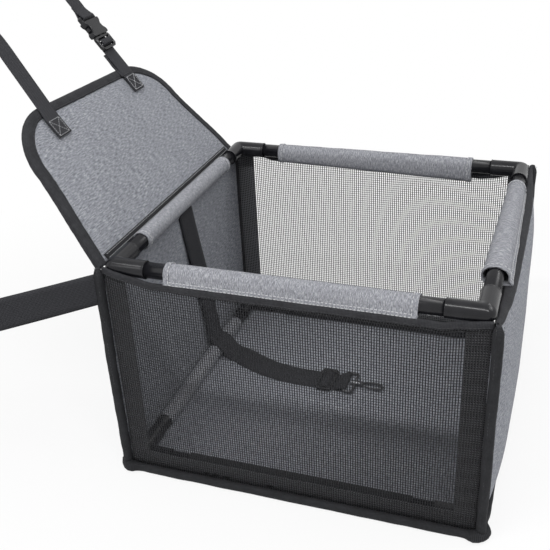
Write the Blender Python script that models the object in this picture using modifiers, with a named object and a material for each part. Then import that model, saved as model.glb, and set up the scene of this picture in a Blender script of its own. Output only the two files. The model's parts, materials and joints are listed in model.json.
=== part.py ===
"""Dog car seat: a soft box on two tube frames, with a headrest flap and a safety tether.

Metres, +Z up. The seat faces -Y, its headrest flap stands at +Y, and the origin lies
at the middle of the underside. Left is -X and right is +X.
"""
import math

import bmesh
import bpy
from mathutils import Matrix, Vector

# Tube frames, measured along the axes of the tubes
FRAME_WIDTH = 0.380
FRAME_LENGTH = 0.400
RIM_HEIGHT = 0.277
TUBE_RADIUS = 0.009
TUBE_WALL = 0.0015
ELBOW_WALL = 0.0011
ELBOW_LEG = 0.039
ELBOW_ROUNDING = 0.010
SOCKET_DEPTH = 0.022
FIT = 0.0003

# Cloth, net, tape and the seams that hold them on the tubes
SLEEVE_THICKNESS = 0.0013
SLEEVE_SETBACK = 0.064
CLOTH_THICKNESS = 0.0015
NET_THICKNESS = 0.0008
NET_STRAND = 0.0030
BORDER_THICKNESS = 0.0004
BORDER_WIDTH = 0.025
WALL_BOTTOM = 0.0010
WALL_DROP = 0.011
FRONT_BULGE = 0.014
BACK_BULGE = 0.003
TAPE_THICKNESS = 0.0008
TAPE_DEPTH = 0.006
CORNER_ROLL_RADIUS = 0.0055
CORNER_ROLL_OUT = 0.0014
CORNER_TIP_RISE = 0.008
BASE_ROLL_WIDTH = 0.009
BASE_ROLL_HEIGHT = 0.012
ROLL_ROUNDING = 0.0035
BOARD_THICKNESS = 0.0032
LINING_THICKNESS = 0.0015

# Headrest flap, along its own face from the axis of the back tube
FLAP_LEAN = math.radians(38.0)
HEM_TUCK = math.radians(30.0)
FLAP_HEIGHT = 0.190
FLAP_START = 0.008
FLAP_BASE_HALF = 0.195
FLAP_SHOULDER_HALF = 0.172
FLAP_TOP_HALF = 0.100
FLAP_CORNER_START = 0.122
FLAP_FRONT_THICKNESS = 0.0035
FLAP_BACK_THICKNESS = 0.0032
FLAP_CROWN = 0.0025
FLAP_TAPE_THICKNESS = 0.0012
FLAP_TAPE_WIDTH = 0.011
PIPING_RADIUS = 0.0018
PIPING_SETBACK = 0.015

# Webbing
WEBBING_THICKNESS = 0.0014
HEADREST_WEBBING = 0.025
WIDE_WEBBING = 0.038
STRAP_OFFSET = 0.095
PATCH_START = 0.148
STRAP_REACH = 0.308
END_LOOP_RADIUS = 0.006
END_LOOP_TAIL = 0.016
LOOP_TAPER = 3.0
SEAT_BACK_STRAP_LENGTH = 0.112
SEAT_BACK_STRAP_DROP = 0.018

# Side-release buckle; lengths run up the strap from the mouth of the socket
BUCKLE_MOUTH = 0.234
BUCKLE_HALF_WIDTH = 0.0172
SOCKET_LENGTH = 0.0235
SOCKET_THICKNESS = 0.0100
SOCKET_WALL = 0.0019
SOCKET_WAIST_HALF = 0.0128
BAR_FRAME_THICKNESS = 0.0050
BAR_SLOT = 0.0040
BAR_THICKNESS = 0.0038
LADDER_SLOT = 0.0048
LADDER_BAR = 0.0036
LADDER_MARGIN = 0.0032
PLUG_THICKNESS = 0.0050
PRONG_ROOT_RADIUS = 0.0013
PRONG_ROOT_OFFSET = 0.0098
PRONG_LENGTH = 0.0185
PRONG_BUTTON_HALF = 0.0168
BLADE_HALF = 0.0022
BLADE_LENGTH = 0.0140

# Tether hardware, lying on the floor of the seat
TETHER_LINE = 0.028
ADJUSTER_PLACE = 0.025
ADJUSTER_LENGTH = 0.024
ADJUSTER_THICKNESS = 0.0030
ADJUSTER_BAR = 0.0042
ADJUSTER_MARGIN = 0.0050
TETHER_LOOP_RADIUS = 0.0026
EYE_WIRE = 0.0020
EYE_LENGTH = 0.0125
EYE_ROUNDING = 0.0040
HUB_RADIUS = 0.0040
HUB_LENGTH = 0.0070
SHANK_RADIUS = 0.0020
SHANK_HEAD_RADIUS = 0.0034
SHANK_HEAD = 0.0018
HOOK_COLLAR = 0.0037
HOOK_WIRE = 0.0019
HOOK_LENGTH = 0.0346
HOOK_HALF = 0.0061
HOOK_SHOULDER = 0.0034
NOSE_SHARE = 0.65
GATE_WIRE = 0.0013

# Mesh resolution
TUBE_SIDES = 18
SLEEVE_SIDES = 20
ROLL_SIDES = 12
WIRE_SIDES = 8
BEND_STEPS = 4
NET_COLUMNS = 11
NET_ROWS = 7
CLOTH_COLUMNS = 12
CLOTH_ROWS = 9
FLAP_COLUMNS = 12
FLAP_ROWS = 5
CORNER_STEPS = 7
LOOP_STEPS = 8

# Sizes that follow from the ones above
ELBOW_RADIUS = TUBE_RADIUS + FIT + ELBOW_WALL
SLEEVE_RADIUS = TUBE_RADIUS + FIT + SLEEVE_THICKNESS
RING_REACH = max(ELBOW_RADIUS, SLEEVE_RADIUS)
BORDER_INNER = RING_REACH + FIT
NET_INNER = BORDER_INNER + BORDER_THICKNESS + FIT
NET_MIDDLE = NET_INNER + NET_THICKNESS / 2
CLOTH_MIDDLE = BORDER_INNER + CLOTH_THICKNESS / 2
WALL_OUTER = max(NET_INNER + NET_THICKNESS, BORDER_INNER + CLOTH_THICKNESS)
WALL_TOP = RIM_HEIGHT - WALL_DROP
ROLL_CENTRE = WALL_OUTER + CORNER_ROLL_OUT
WALL_END = ROLL_CENTRE - math.sqrt((CORNER_ROLL_RADIUS + FIT) ** 2 - CORNER_ROLL_OUT ** 2)
TAPE_TOP = WALL_TOP + FIT + TAPE_THICKNESS
FLOOR_TOP = BOARD_THICKNESS + FIT + LINING_THICKNESS
BASE_AXIS = FLOOR_TOP + FIT + SLEEVE_RADIUS
HALF_WIDTH = FRAME_WIDTH / 2
HALF_LENGTH = FRAME_LENGTH / 2
FLAP_FACE = RING_REACH + FIT + FLAP_TAPE_THICKNESS + FIT
FLAP_MIDDLE = FLAP_FACE + FLAP_FRONT_THICKNESS + FIT
FLAP_REAR = FLAP_MIDDLE + FLAP_BACK_THICKNESS
PLUG_LENGTH = 2 * LADDER_SLOT + 2 * LADDER_BAR + LADDER_MARGIN
HALF_WEBBING = WEBBING_THICKNESS / 2

SIDES = {
    "front": Vector((0, -1, 0)),
    "back": Vector((0, 1, 0)),
    "left": Vector((-1, 0, 0)),
    "right": Vector((1, 0, 0)),
}
CORNERS = {
    "front_left": (-1, -1, 0),
    "front_right": (1, -1, 1),
    "back_right": (1, 1, 2),
    "back_left": (-1, 1, 3),
}
UP = Vector((0, 0, 1))

for old in list(bpy.data.objects):
    bpy.data.objects.remove(old, do_unlink=True)
seat = bpy.data.collections.new("dog_car_seat")
cutters = bpy.data.collections.new("cutters")
bpy.context.scene.collection.children.link(seat)
bpy.context.scene.collection.children.link(cutters)


def material(name, colour, roughness, metallic=0.0):
    """Principled material with one colour."""
    made = bpy.data.materials.new(name)
    made.use_nodes = True
    shader = made.node_tree.nodes["Principled BSDF"]
    shader.inputs["Base Color"].default_value = (*colour, 1.0)
    shader.inputs["Roughness"].default_value = roughness
    shader.inputs["Metallic"].default_value = metallic
    return made


GREY_CLOTH = material("grey_cloth", (0.36, 0.37, 0.41), 0.92)
BLACK_TAPE = material("black_tape", (0.035, 0.035, 0.040), 0.80)
BLACK_NET = material("black_net", (0.025, 0.025, 0.028), 0.75)
TUBE_PLASTIC = material("tube_plastic", (0.055, 0.055, 0.062), 0.38)
BUCKLE_PLASTIC = material("buckle_plastic", (0.045, 0.047, 0.052), 0.34)
BLACK_WEBBING = material("black_webbing", (0.040, 0.040, 0.046), 0.82)
HOOK_METAL = material("hook_metal", (0.16, 0.16, 0.17), 0.36, 0.85)
BOARD = material("board", (0.10, 0.10, 0.11), 0.85)


def place(thing, name, finish, parent=None, frame=None, collection=seat):
    """Name an object, give it its material, parent and place, and put it in its collection."""
    thing.name = name
    thing.data.name = name
    thing.data.materials.clear()
    thing.data.materials.append(finish)
    for holder in list(thing.users_collection):
        holder.objects.unlink(thing)
    collection.objects.link(thing)
    if parent is not None:
        thing.parent = parent
    if frame is not None:
        thing.matrix_local = frame
    return thing


def pivot(name, frame, parent=None):
    """Empty on a joint's axis that carries the moving pieces."""
    empty = bpy.data.objects.new(name, None)
    empty.empty_display_size = TUBE_RADIUS
    seat.objects.link(empty)
    empty.parent = parent
    empty.matrix_local = frame
    return empty


def from_bmesh(bm, name):
    """Turn a bmesh into an object with its faces pointing out."""
    bmesh.ops.recalc_face_normals(bm, faces=bm.faces)
    mesh = bpy.data.meshes.new(name)
    bm.to_mesh(mesh)
    bm.free()
    return bpy.data.objects.new(name, mesh)


def soften(thing, degrees=40.0):
    """Shade a round piece smooth, with its sharp edges kept."""
    thing.data.shade_smooth()
    thing.data.set_sharp_from_angle(angle=math.radians(degrees))
    return thing


def bevel(thing, width, segments=2, weld=False):
    """Round the sharp edges of a piece."""
    if weld:
        seam = thing.modifiers.new("weld", "WELD")
        seam.merge_threshold = FIT / 100
    edge = thing.modifiers.new("rounding", "BEVEL")
    edge.width = width
    edge.segments = segments
    edge.limit_method = "ANGLE"
    edge.angle_limit = math.radians(35)
    return thing


def cut(thing, tool, operation="DIFFERENCE"):
    """Boolean with a helper that stays out of the part."""
    for holder in list(tool.users_collection):
        holder.objects.unlink(tool)
    cutters.objects.link(tool)
    tool.hide_render = True
    tool.display_type = "WIRE"
    change = thing.modifiers.new(tool.name, "BOOLEAN")
    change.operation = operation
    change.solver = "EXACT"
    change.object = tool
    return thing


def outline_solid(name, outlines, thickness):
    """Flat outline with its holes, given half its thickness each way."""
    curve = bpy.data.curves.new(name, "CURVE")
    curve.dimensions = "2D"
    curve.fill_mode = "BOTH"
    curve.extrude = thickness / 2
    for points in outlines:
        spline = curve.splines.new("POLY")
        spline.points.add(len(points) - 1)
        for spot, (x, y) in zip(spline.points, points):
            spot.co = (x, y, 0, 1)
        spline.use_cyclic_u = True
    return bpy.data.objects.new(name, curve)


def as_mesh(thing):
    """Make a curve a closed mesh, so that it can be cut or joined."""
    if thing.name not in bpy.context.scene.collection.all_objects:
        cutters.objects.link(thing)
    bpy.context.view_layer.update()
    graph = bpy.context.evaluated_depsgraph_get()
    mesh = bpy.data.meshes.new_from_object(thing.evaluated_get(graph))
    bm = bmesh.new()
    bm.from_mesh(mesh)
    bmesh.ops.remove_doubles(bm, verts=bm.verts, dist=FIT / 100)
    bmesh.ops.recalc_face_normals(bm, faces=bm.faces)
    bm.to_mesh(mesh)
    bm.free()
    name = thing.name
    solid = bpy.data.objects.new(name, mesh)
    solid.matrix_world = thing.matrix_world
    bpy.data.objects.remove(thing, do_unlink=True)
    solid.name = name
    return solid


def wire(name, points, radius, closed=False):
    """Round wire through points, with filled caps."""
    curve = bpy.data.curves.new(name, "CURVE")
    curve.dimensions = "3D"
    curve.bevel_depth = radius
    curve.bevel_resolution = WIRE_SIDES // 2 - 2
    curve.use_fill_caps = not closed
    spline = curve.splines.new("POLY")
    spline.points.add(len(points) - 1)
    for spot, point in zip(spline.points, points):
        spot.co = (*point, 1)
    spline.use_cyclic_u = closed
    return bpy.data.objects.new(name, curve)


def loft(name, rings):
    """Closed solid through rings of equal count, capped at both ends."""
    bm = bmesh.new()
    bmesh.ops.create_circle(bm, cap_ends=True, segments=len(rings[0]), radius=1.0)
    face = list(bm.faces)[0]
    last = []
    for corner, point in zip(list(face.verts), rings[0]):
        corner.co = point
        last.append(Vector(point))
    for step, ring in enumerate(rings[1:]):
        before = face
        grown = bmesh.ops.extrude_face_region(bm, geom=[before])
        face = next(part for part in grown["geom"] if isinstance(part, bmesh.types.BMFace))
        if step > 0:
            bmesh.ops.delete(bm, geom=[before], context="FACES_ONLY")
        for corner in face.verts:
            index = min(range(len(last)), key=lambda i: (last[i] - corner.co).length)
            corner.co = ring[index]
        last = [Vector(point) for point in ring]
    return from_bmesh(bm, name)


def smooth_route(points, steps):
    """Points on a smooth curve through a route's own points."""
    route = [Vector(point) for point in points]
    ends = [2 * route[0] - route[1], *route, 2 * route[-1] - route[-2]]
    found = []
    for before, start, end, after in zip(ends, ends[1:], ends[2:], ends[3:]):
        for step in range(steps):
            t = step / steps
            found.append(
                start
                + (end - before) * (t / 2)
                + (2 * before - 5 * start + 4 * end - after) * (t * t / 2)
                + (3 * start - before - 3 * end + after) * (t * t * t / 2)
            )
    found.append(route[-1])
    return found


def ribbon(name, route, width, side=None):
    """Flat webbing along a route; without a side it lies square to the YZ plane."""
    rings = []
    for index, centre in enumerate(route):
        ahead = route[min(index + 1, len(route) - 1)] - route[max(index - 1, 0)]
        ahead.normalize()
        if side is None:
            face = Vector((0, -ahead.z, ahead.y)).normalized()
            across = face.cross(ahead).normalized()
        else:
            across = Vector(side)
        normal = across.cross(ahead).normalized()
        half = across * (width / 2)
        thick = normal * HALF_WEBBING
        rings.append(
            [centre - half - thick, centre + half - thick, centre + half + thick, centre - half + thick]
        )
    return loft(name, rings)


def circle_points(radius, count, start=0.0, end=2 * math.pi):
    """Points on an arc; a full circle leaves its last point out."""
    closed = abs(end - start - 2 * math.pi) < 1e-9
    steps = count if closed else count - 1
    return [
        (radius * math.cos(turn), radius * math.sin(turn))
        for turn in (start + (end - start) * i / steps for i in range(count))
    ]


def box_outline(half, low, high):
    """Upright rectangle, half its width on each side of the middle."""
    return [(-half, low), (half, low), (half, high), (-half, high)]


def profile_frame(outward, along, height):
    """Frame with X outward, Y up and Z along a side of the box."""
    across = outward.cross(UP)
    frame = Matrix((outward, UP, across)).transposed().to_4x4()
    frame.translation = outward * along + UP * height
    return frame


def face_frame(outward, out, height=0.0):
    """Frame with X along a side of the box, Y up and Z outward."""
    across = UP.cross(outward)
    frame = Matrix((across, UP, outward)).transposed().to_4x4()
    frame.translation = outward * out + UP * height
    return frame


def side_sizes(side):
    """Distance of a side's tube from the middle, and half the length of that side."""
    if side in ("front", "back"):
        return HALF_LENGTH, HALF_WIDTH
    return HALF_WIDTH, HALF_LENGTH


def ring_outline(grow):
    """Rectangle round the tube frames, grown outwards, with its corners cut off."""
    half_x, half_y = HALF_WIDTH + grow, HALF_LENGTH + grow
    cut_off = CORNER_ROLL_RADIUS
    right = [(half_x - cut_off, -half_y), (half_x, cut_off - half_y)]
    right += [(x, -y) for x, y in reversed(right)]
    return right + [(-x, y) for x, y in reversed(right)]


def frame_tube(name, side, height, parent=None):
    """Hollow straight tube between two elbows."""
    out, half = side_sizes(side)
    length = 2 * (half - ELBOW_LEG + SOCKET_DEPTH)
    bpy.ops.mesh.primitive_cylinder_add(
        vertices=TUBE_SIDES, radius=TUBE_RADIUS, depth=length, end_fill_type="NOTHING"
    )
    tube = bpy.context.object
    wall = tube.modifiers.new("wall", "SOLIDIFY")
    wall.thickness = TUBE_WALL
    wall.offset = -1
    place(tube, name, TUBE_PLASTIC, parent, profile_frame(SIDES[side], out, height))
    return soften(tube)


def elbow_mesh():
    """Corner fitting with two blind sockets; its legs run along +X and +Y from the corner."""
    turn = [2 * math.pi * i / TUBE_SIDES for i in range(TUBE_SIDES)]
    bore = TUBE_RADIUS + FIT
    seat_depth = ELBOW_LEG - SOCKET_DEPTH - FIT

    def ring_x(place_along, radius):
        return [(place_along, -radius * math.cos(a), radius * math.sin(a)) for a in turn]

    def ring_y(place_along, radius):
        return [(-radius * math.cos(a), place_along, radius * math.sin(a)) for a in turn]

    rings = [ring_x(seat_depth, bore), ring_x(ELBOW_LEG, bore), ring_x(ELBOW_LEG, ELBOW_RADIUS)]
    for step in range(BEND_STEPS + 1):
        swing = math.pi / 2 * step / BEND_STEPS
        ring = []
        for a in turn:
            out = ELBOW_RADIUS * math.cos(a)
            fillet = ELBOW_ROUNDING * (out + ELBOW_RADIUS) / (2 * ELBOW_RADIUS)
            fillet = max(fillet, FIT)
            ring.append(
                (
                    fillet - out - fillet * math.sin(swing),
                    fillet - out - fillet * math.cos(swing),
                    ELBOW_RADIUS * math.sin(a),
                )
            )
        rings.append(ring)
    rings += [ring_y(ELBOW_LEG, ELBOW_RADIUS), ring_y(ELBOW_LEG, bore), ring_y(seat_depth, bore)]
    elbow = loft("elbow", rings)
    mesh = soften(elbow).data
    bpy.data.objects.remove(elbow, do_unlink=True)
    return mesh


def sleeve(name, side, height, hem_bottom, finish, parent=None, tuck=0.0):
    """Cloth tunnel round a tube, with its hem hanging down on the outside.

    A tucked hem starts lower on the round of the tube, clear of what turns about it.
    """
    out, half = side_sizes(side)
    hole = (TUBE_RADIUS + FIT) / math.cos(math.pi / SLEEVE_SIDES)
    outer = circle_points(SLEEVE_RADIUS, SLEEVE_SIDES - 2, -tuck, math.radians(315) - tuck)
    hem_out = SLEEVE_RADIUS * math.cos(tuck)
    outer += [(hem_out - SLEEVE_THICKNESS, -hem_bottom), (hem_out, -hem_bottom)]
    tunnel = outline_solid(name, [outer, circle_points(hole, SLEEVE_SIDES)], 2 * (half - SLEEVE_SETBACK))
    return place(tunnel, name, finish, parent, profile_frame(SIDES[side], out, height))


def cloth_wall(name, side, bulge):
    """Grey end wall, which bellies out between its seams."""
    out, half = side_sizes(side)
    span = half + WALL_END
    bm = bmesh.new()
    bmesh.ops.create_grid(bm, x_segments=CLOTH_COLUMNS, y_segments=CLOTH_ROWS, size=1.0)
    for spot in bm.verts:
        across, height = spot.co.x, WALL_BOTTOM + (WALL_TOP - WALL_BOTTOM) * (spot.co.y + 1) / 2
        free = (height - BASE_ROLL_HEIGHT) / (WALL_TOP - TAPE_DEPTH - BASE_ROLL_HEIGHT)
        free = min(1.0, max(0.0, free))
        belly = bulge * math.sin(math.pi * free) ** 2 * (1 - abs(across) ** 3)
        spot.co = (across * span, height, belly)
    wall = from_bmesh(bm, name)
    body = wall.modifiers.new("cloth", "SOLIDIFY")
    body.thickness = CLOTH_THICKNESS
    body.offset = 0
    place(wall, name, GREY_CLOTH, None, face_frame(SIDES[side], out + CLOTH_MIDDLE))
    return soften(wall)


def net_wall(name, side):
    """Net side wall: a close border round open cells."""
    out, half = side_sizes(side)
    span = half + WALL_END
    top = WALL_TOP - TAPE_DEPTH
    bm = bmesh.new()
    bmesh.ops.create_grid(bm, x_segments=NET_COLUMNS + 2, y_segments=NET_ROWS + 2, size=1.0)
    columns, rows = NET_COLUMNS + 2, NET_ROWS + 2
    clear_half = span - BORDER_WIDTH
    clear_low = WALL_BOTTOM + BORDER_WIDTH
    for spot in bm.verts:
        column = round((spot.co.x + 1) / 2 * columns)
        row = round((spot.co.y + 1) / 2 * rows)
        x = clear_half * (2 * (column - 1) / NET_COLUMNS - 1)
        y = clear_low + (top - clear_low) * (row - 1) / NET_ROWS
        if column in (0, columns):
            x = math.copysign(span, spot.co.x)
        if row in (0, rows):
            y = WALL_BOTTOM if row == 0 else WALL_TOP
        spot.co = (x, y, 0)
    cells = [
        face
        for face in bm.faces
        if abs(face.calc_center_median().x) < clear_half and clear_low < face.calc_center_median().y < top
    ]
    bmesh.ops.inset_individual(bm, faces=cells, thickness=NET_STRAND / 2)
    bmesh.ops.delete(bm, geom=cells, context="FACES")
    net = from_bmesh(bm, name)
    body = net.modifiers.new("net", "SOLIDIFY")
    body.thickness = NET_THICKNESS
    body.offset = 0
    return place(net, name, BLACK_NET, None, face_frame(SIDES[side], out + NET_MIDDLE))


def net_border(name, side):
    """Tape frame inside the net, round its clear part."""
    out, half = side_sizes(side)
    span = half + WALL_END
    inner = span - BORDER_WIDTH
    outer = box_outline(span, WALL_BOTTOM, WALL_TOP)
    hole = box_outline(inner, WALL_BOTTOM + BORDER_WIDTH, WALL_TOP - 2 * TAPE_DEPTH)
    tape = outline_solid(name, [outer, hole], BORDER_THICKNESS)
    middle = out + BORDER_INNER + BORDER_THICKNESS / 2
    return place(tape, name, BLACK_TAPE, None, face_frame(SIDES[side], middle))


def top_tape(name, side):
    """Binding folded over the top edge of a wall."""
    out, half = side_sizes(side)
    inner, outer = BORDER_INNER - FIT, WALL_OUTER + FIT
    low, high = WALL_TOP - TAPE_DEPTH, WALL_TOP + FIT
    section = [
        (inner - TAPE_THICKNESS, low),
        (inner, low),
        (inner, high),
        (outer, high),
        (outer, low),
        (outer + TAPE_THICKNESS, low),
        (outer + TAPE_THICKNESS, TAPE_TOP),
        (inner - TAPE_THICKNESS, TAPE_TOP),
    ]
    tape = outline_solid(name, [section], 2 * (half + WALL_END))
    return place(tape, name, BLACK_TAPE, None, profile_frame(SIDES[side], out, 0))


def corner_roll(name, sign_x, sign_y):
    """Upright binding roll in a corner seam, with a raised tip at the front."""
    low = BASE_ROLL_HEIGHT + FIT
    high = TAPE_TOP + (CORNER_TIP_RISE if sign_y < 0 else 0)
    bpy.ops.mesh.primitive_cylinder_add(
        vertices=ROLL_SIDES,
        radius=CORNER_ROLL_RADIUS,
        depth=high - low,
        location=(
            sign_x * (HALF_WIDTH + ROLL_CENTRE),
            sign_y * (HALF_LENGTH + ROLL_CENTRE),
            (low + high) / 2,
        ),
    )
    roll = bpy.context.object
    place(roll, name, BLACK_TAPE)
    bevel(roll, CORNER_ROLL_RADIUS / 3)
    return soften(roll, 60)


def base_binding():
    """Binding roll that runs round the foot of the walls."""
    outer = ring_outline(WALL_OUTER + FIT + BASE_ROLL_WIDTH)
    half_x, half_y = HALF_WIDTH + WALL_OUTER + FIT, HALF_LENGTH + WALL_OUTER + FIT
    inner = [(-half_x, -half_y), (half_x, -half_y), (half_x, half_y), (-half_x, half_y)]
    roll = outline_solid("base_binding", [outer, inner], BASE_ROLL_HEIGHT)
    place(roll, "base_binding", BLACK_TAPE, None, Matrix.Translation((0, 0, BASE_ROLL_HEIGHT / 2)))
    return bevel(roll, ROLL_ROUNDING, 2, weld=True)


def flap_outline(grow, start):
    """Outline of the headrest flap: straight sides, round top corners; grown by a margin."""
    base, shoulder = FLAP_BASE_HALF + grow, FLAP_SHOULDER_HALF + grow
    corner_width = shoulder - FLAP_TOP_HALF
    corner_height = FLAP_HEIGHT + grow - FLAP_CORNER_START
    right = [(base, start)]
    for step in range(CORNER_STEPS + 1):
        swing = math.pi / 2 * step / CORNER_STEPS
        right.append(
            (
                FLAP_TOP_HALF + corner_width * math.cos(swing),
                FLAP_CORNER_START + corner_height * math.sin(swing),
            )
        )
    left = [(-x, y) for x, y in reversed(right)]
    return right + left


def flap_half_width(height, grow=0.0):
    """Half the width of the flap's outline, grown by a margin, at a height on its face."""
    base, shoulder = FLAP_BASE_HALF + grow, FLAP_SHOULDER_HALF + grow
    if height <= FLAP_CORNER_START:
        share = (height - FLAP_START) / (FLAP_CORNER_START - FLAP_START)
        return base + (shoulder - base) * share
    share = min(1.0, (height - FLAP_CORNER_START) / (FLAP_HEIGHT + grow - FLAP_CORNER_START))
    return FLAP_TOP_HALF + (shoulder - FLAP_TOP_HALF) * math.sqrt(1 - share ** 2)


def flap_crown(across_share, height):
    """How far the padded face of the flap stands out, inside its binding."""
    up = (height - FLAP_START) / (FLAP_HEIGHT - FLAP_TAPE_WIDTH - FLAP_START)
    if up > 1:
        return 0.0
    return FLAP_CROWN * (1 - abs(across_share) ** 4) * (1 - abs(2 * up - 1) ** 4)


def flap_front(parent):
    """Padded front of the flap, crowned between its bound edges."""
    straight = [FLAP_START + (FLAP_CORNER_START - FLAP_START) * row / FLAP_ROWS for row in range(FLAP_ROWS)]
    heights = straight + [height for x, height in flap_outline(0, FLAP_START)[1:CORNER_STEPS + 2]]
    columns = FLAP_COLUMNS + 2
    bm = bmesh.new()
    bmesh.ops.create_grid(bm, x_segments=columns, y_segments=len(heights) - 1, size=1.0)
    for spot in bm.verts:
        column = round((spot.co.x + 1) / 2 * columns)
        height = heights[round((spot.co.y + 1) / 2 * (len(heights) - 1))]
        share = 2 * (column - 1) / FLAP_COLUMNS - 1
        x = share * flap_half_width(height, -FLAP_TAPE_WIDTH)
        if column in (0, columns):
            share = math.copysign(1.0, spot.co.x)
            x = share * flap_half_width(height)
        spot.co = (x, FLAP_FACE - flap_crown(share, height), height)
    grown = bmesh.ops.extrude_face_region(bm, geom=list(bm.faces))
    rear = [part for part in grown["geom"] if isinstance(part, bmesh.types.BMVert)]
    for spot in rear:
        spot.co.y = FLAP_FACE + FLAP_FRONT_THICKNESS
    cover = from_bmesh(bm, "flap_front")
    place(cover, "flap_front", GREY_CLOTH, parent)
    return soften(cover)


def flap_back(parent):
    """Plain rear cover of the flap."""
    cover = outline_solid("flap_back", [flap_outline(0, FLAP_START)], FLAP_BACK_THICKNESS)
    turn = Matrix.Rotation(math.pi / 2, 4, "X")
    turn.translation = (0, FLAP_MIDDLE + FLAP_BACK_THICKNESS / 2, 0)
    return place(cover, "flap_back", GREY_CLOTH, parent, turn)


def flap_tape(parent):
    """Binding round the flap: a channel along both sides and the top."""
    turn = Matrix.Rotation(math.pi / 2, 4, "X")
    turn.translation = (0, (FLAP_FACE + FLAP_REAR) / 2, 0)
    thickness = FLAP_REAR - FLAP_FACE + 2 * (FIT + FLAP_TAPE_THICKNESS)
    outer = flap_outline(FIT + FLAP_TAPE_THICKNESS, FLAP_START)
    inner = flap_outline(-FLAP_TAPE_WIDTH, FLAP_START)
    channel = as_mesh(outline_solid("flap_tape", [outer + inner[::-1]], thickness))
    gap = FLAP_REAR - FLAP_FACE + 2 * FIT
    slot = as_mesh(outline_solid("flap_tape_slot", [flap_outline(FIT, FLAP_START - FIT)], gap))
    place(channel, "flap_tape", BLACK_TAPE, parent, turn)
    place(slot, "flap_tape_slot", BLACK_TAPE, parent, turn, cutters)
    return cut(channel, slot)


def flap_piping(parent):
    """Corded seam that joins the flap to the sleeve of the back tube."""
    seam_height = FLAP_START - FIT - PIPING_RADIUS
    depth = math.sqrt((SLEEVE_RADIUS + FIT + PIPING_RADIUS) ** 2 - seam_height ** 2)
    bpy.ops.mesh.primitive_cylinder_add(
        vertices=ROLL_SIDES, radius=PIPING_RADIUS, depth=2 * (FLAP_BASE_HALF - PIPING_SETBACK)
    )
    piping = bpy.context.object
    frame = Matrix.Rotation(math.pi / 2, 4, "Y")
    frame.translation = (0, depth, seam_height)
    place(piping, "flap_piping", BLACK_TAPE, parent, frame)
    return soften(piping)


def strap_solid(name, width, single, loops, low_side=0.0):
    """Webbing seen from its edge: a straight stretch with a sewn loop at one or both ends.

    loops holds, for the far end and then the near end, (inner radius, tail) or None.
    low_side shifts a loop's middle off the strap, so that it can lie on a surface.
    """
    layer = WEBBING_THICKNESS

    def loop_end(start, facing, radius, tail):
        turn_at = start + facing * (tail + LOOP_TAPER * radius)
        arc = [math.radians(90 - 180 * i / LOOP_STEPS) for i in range(LOOP_STEPS + 1)]
        outside = [(start, layer / 2), (start, layer), (start + facing * tail, layer)]
        outside += [
            (turn_at + facing * (radius + layer) * math.cos(a), low_side + (radius + layer) * math.sin(a))
            for a in arc
        ]
        outside += [(start + facing * tail, -layer), (start, -layer), (start, -layer / 2)]
        hole = [(start + facing * (tail + layer), 0)]
        hole += [(turn_at + facing * radius * math.cos(a), low_side + radius * math.sin(a)) for a in arc]
        return outside, hole

    outlines = []
    if loops[0]:
        far, hole = loop_end(single, 1, *loops[0])
        outlines.append(hole)
    else:
        far = [(single, layer / 2), (single, -layer / 2)]
    if loops[1]:
        near, hole = loop_end(0, -1, *loops[1])
        outlines.append(hole)
        near = near[::-1]
    else:
        near = [(0, -layer / 2), (0, layer / 2)]
    outline = far + near if single > 0 else far[1:-1]
    return outline_solid(name, [outline, *outlines], width)


def strap_seat():
    """Depth of the headrest straps' middle, where they lie on the flap."""
    patch_end = PATCH_START + HEADREST_WEBBING
    rise = max(
        flap_crown(STRAP_OFFSET / flap_half_width(height), height)
        for height in (PATCH_START, (PATCH_START + patch_end) / 2, patch_end)
    )
    rise = max(rise, FIT + FLAP_TAPE_THICKNESS)
    return FLAP_FACE - rise - FIT - HALF_WEBBING


def edge_frame(x, depth, height):
    """Frame on the flap for a strap's side view: X up the flap, Y to its front, Z across."""
    frame = Matrix(((0, 0, -1, x), (0, -1, 0, depth), (1, 0, 0, height), (0, 0, 0, 1)))
    frame[0][2] = 1 if frame.to_3x3().determinant() < 0 else -1
    return frame


def face_on_frame(x, depth, height):
    """Frame on the flap for an outline seen from the front: X across, Y up the flap."""
    frame = Matrix.Rotation(math.pi / 2, 4, "X")
    frame.translation = (x, depth, height)
    return frame


def buckle_plug(parent, depth):
    """Plug of the side-release buckle: strap ladder, shoulder and guide blade."""
    half = BUCKLE_HALF_WIDTH
    slot_half = HEADREST_WEBBING / 2 + 3 * FIT
    low = -PLUG_LENGTH - FIT
    top = -FIT
    chamfer = LADDER_BAR
    outline = [
        (half, low + chamfer),
        (half, top - LADDER_MARGIN),
        (half - LADDER_MARGIN / 2, top),
        (BLADE_HALF, top),
        (BLADE_HALF, BLADE_LENGTH - BLADE_HALF),
        (BLADE_HALF / 2, BLADE_LENGTH),
    ]
    outline = [(half - chamfer, low)] + outline
    outline += [(-x, y) for x, y in reversed(outline)]
    holes = []
    for index in range(2):
        start = low + LADDER_BAR + index * (LADDER_SLOT + LADDER_BAR)
        holes.append(box_outline(slot_half, start, start + LADDER_SLOT))
    plug = outline_solid("buckle_plug", [outline, *holes], PLUG_THICKNESS)
    place(plug, "buckle_plug", BUCKLE_PLASTIC, parent, face_on_frame(STRAP_OFFSET, depth, BUCKLE_MOUTH))
    return bevel(plug, LADDER_BAR / 6, 1, weld=True)


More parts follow.
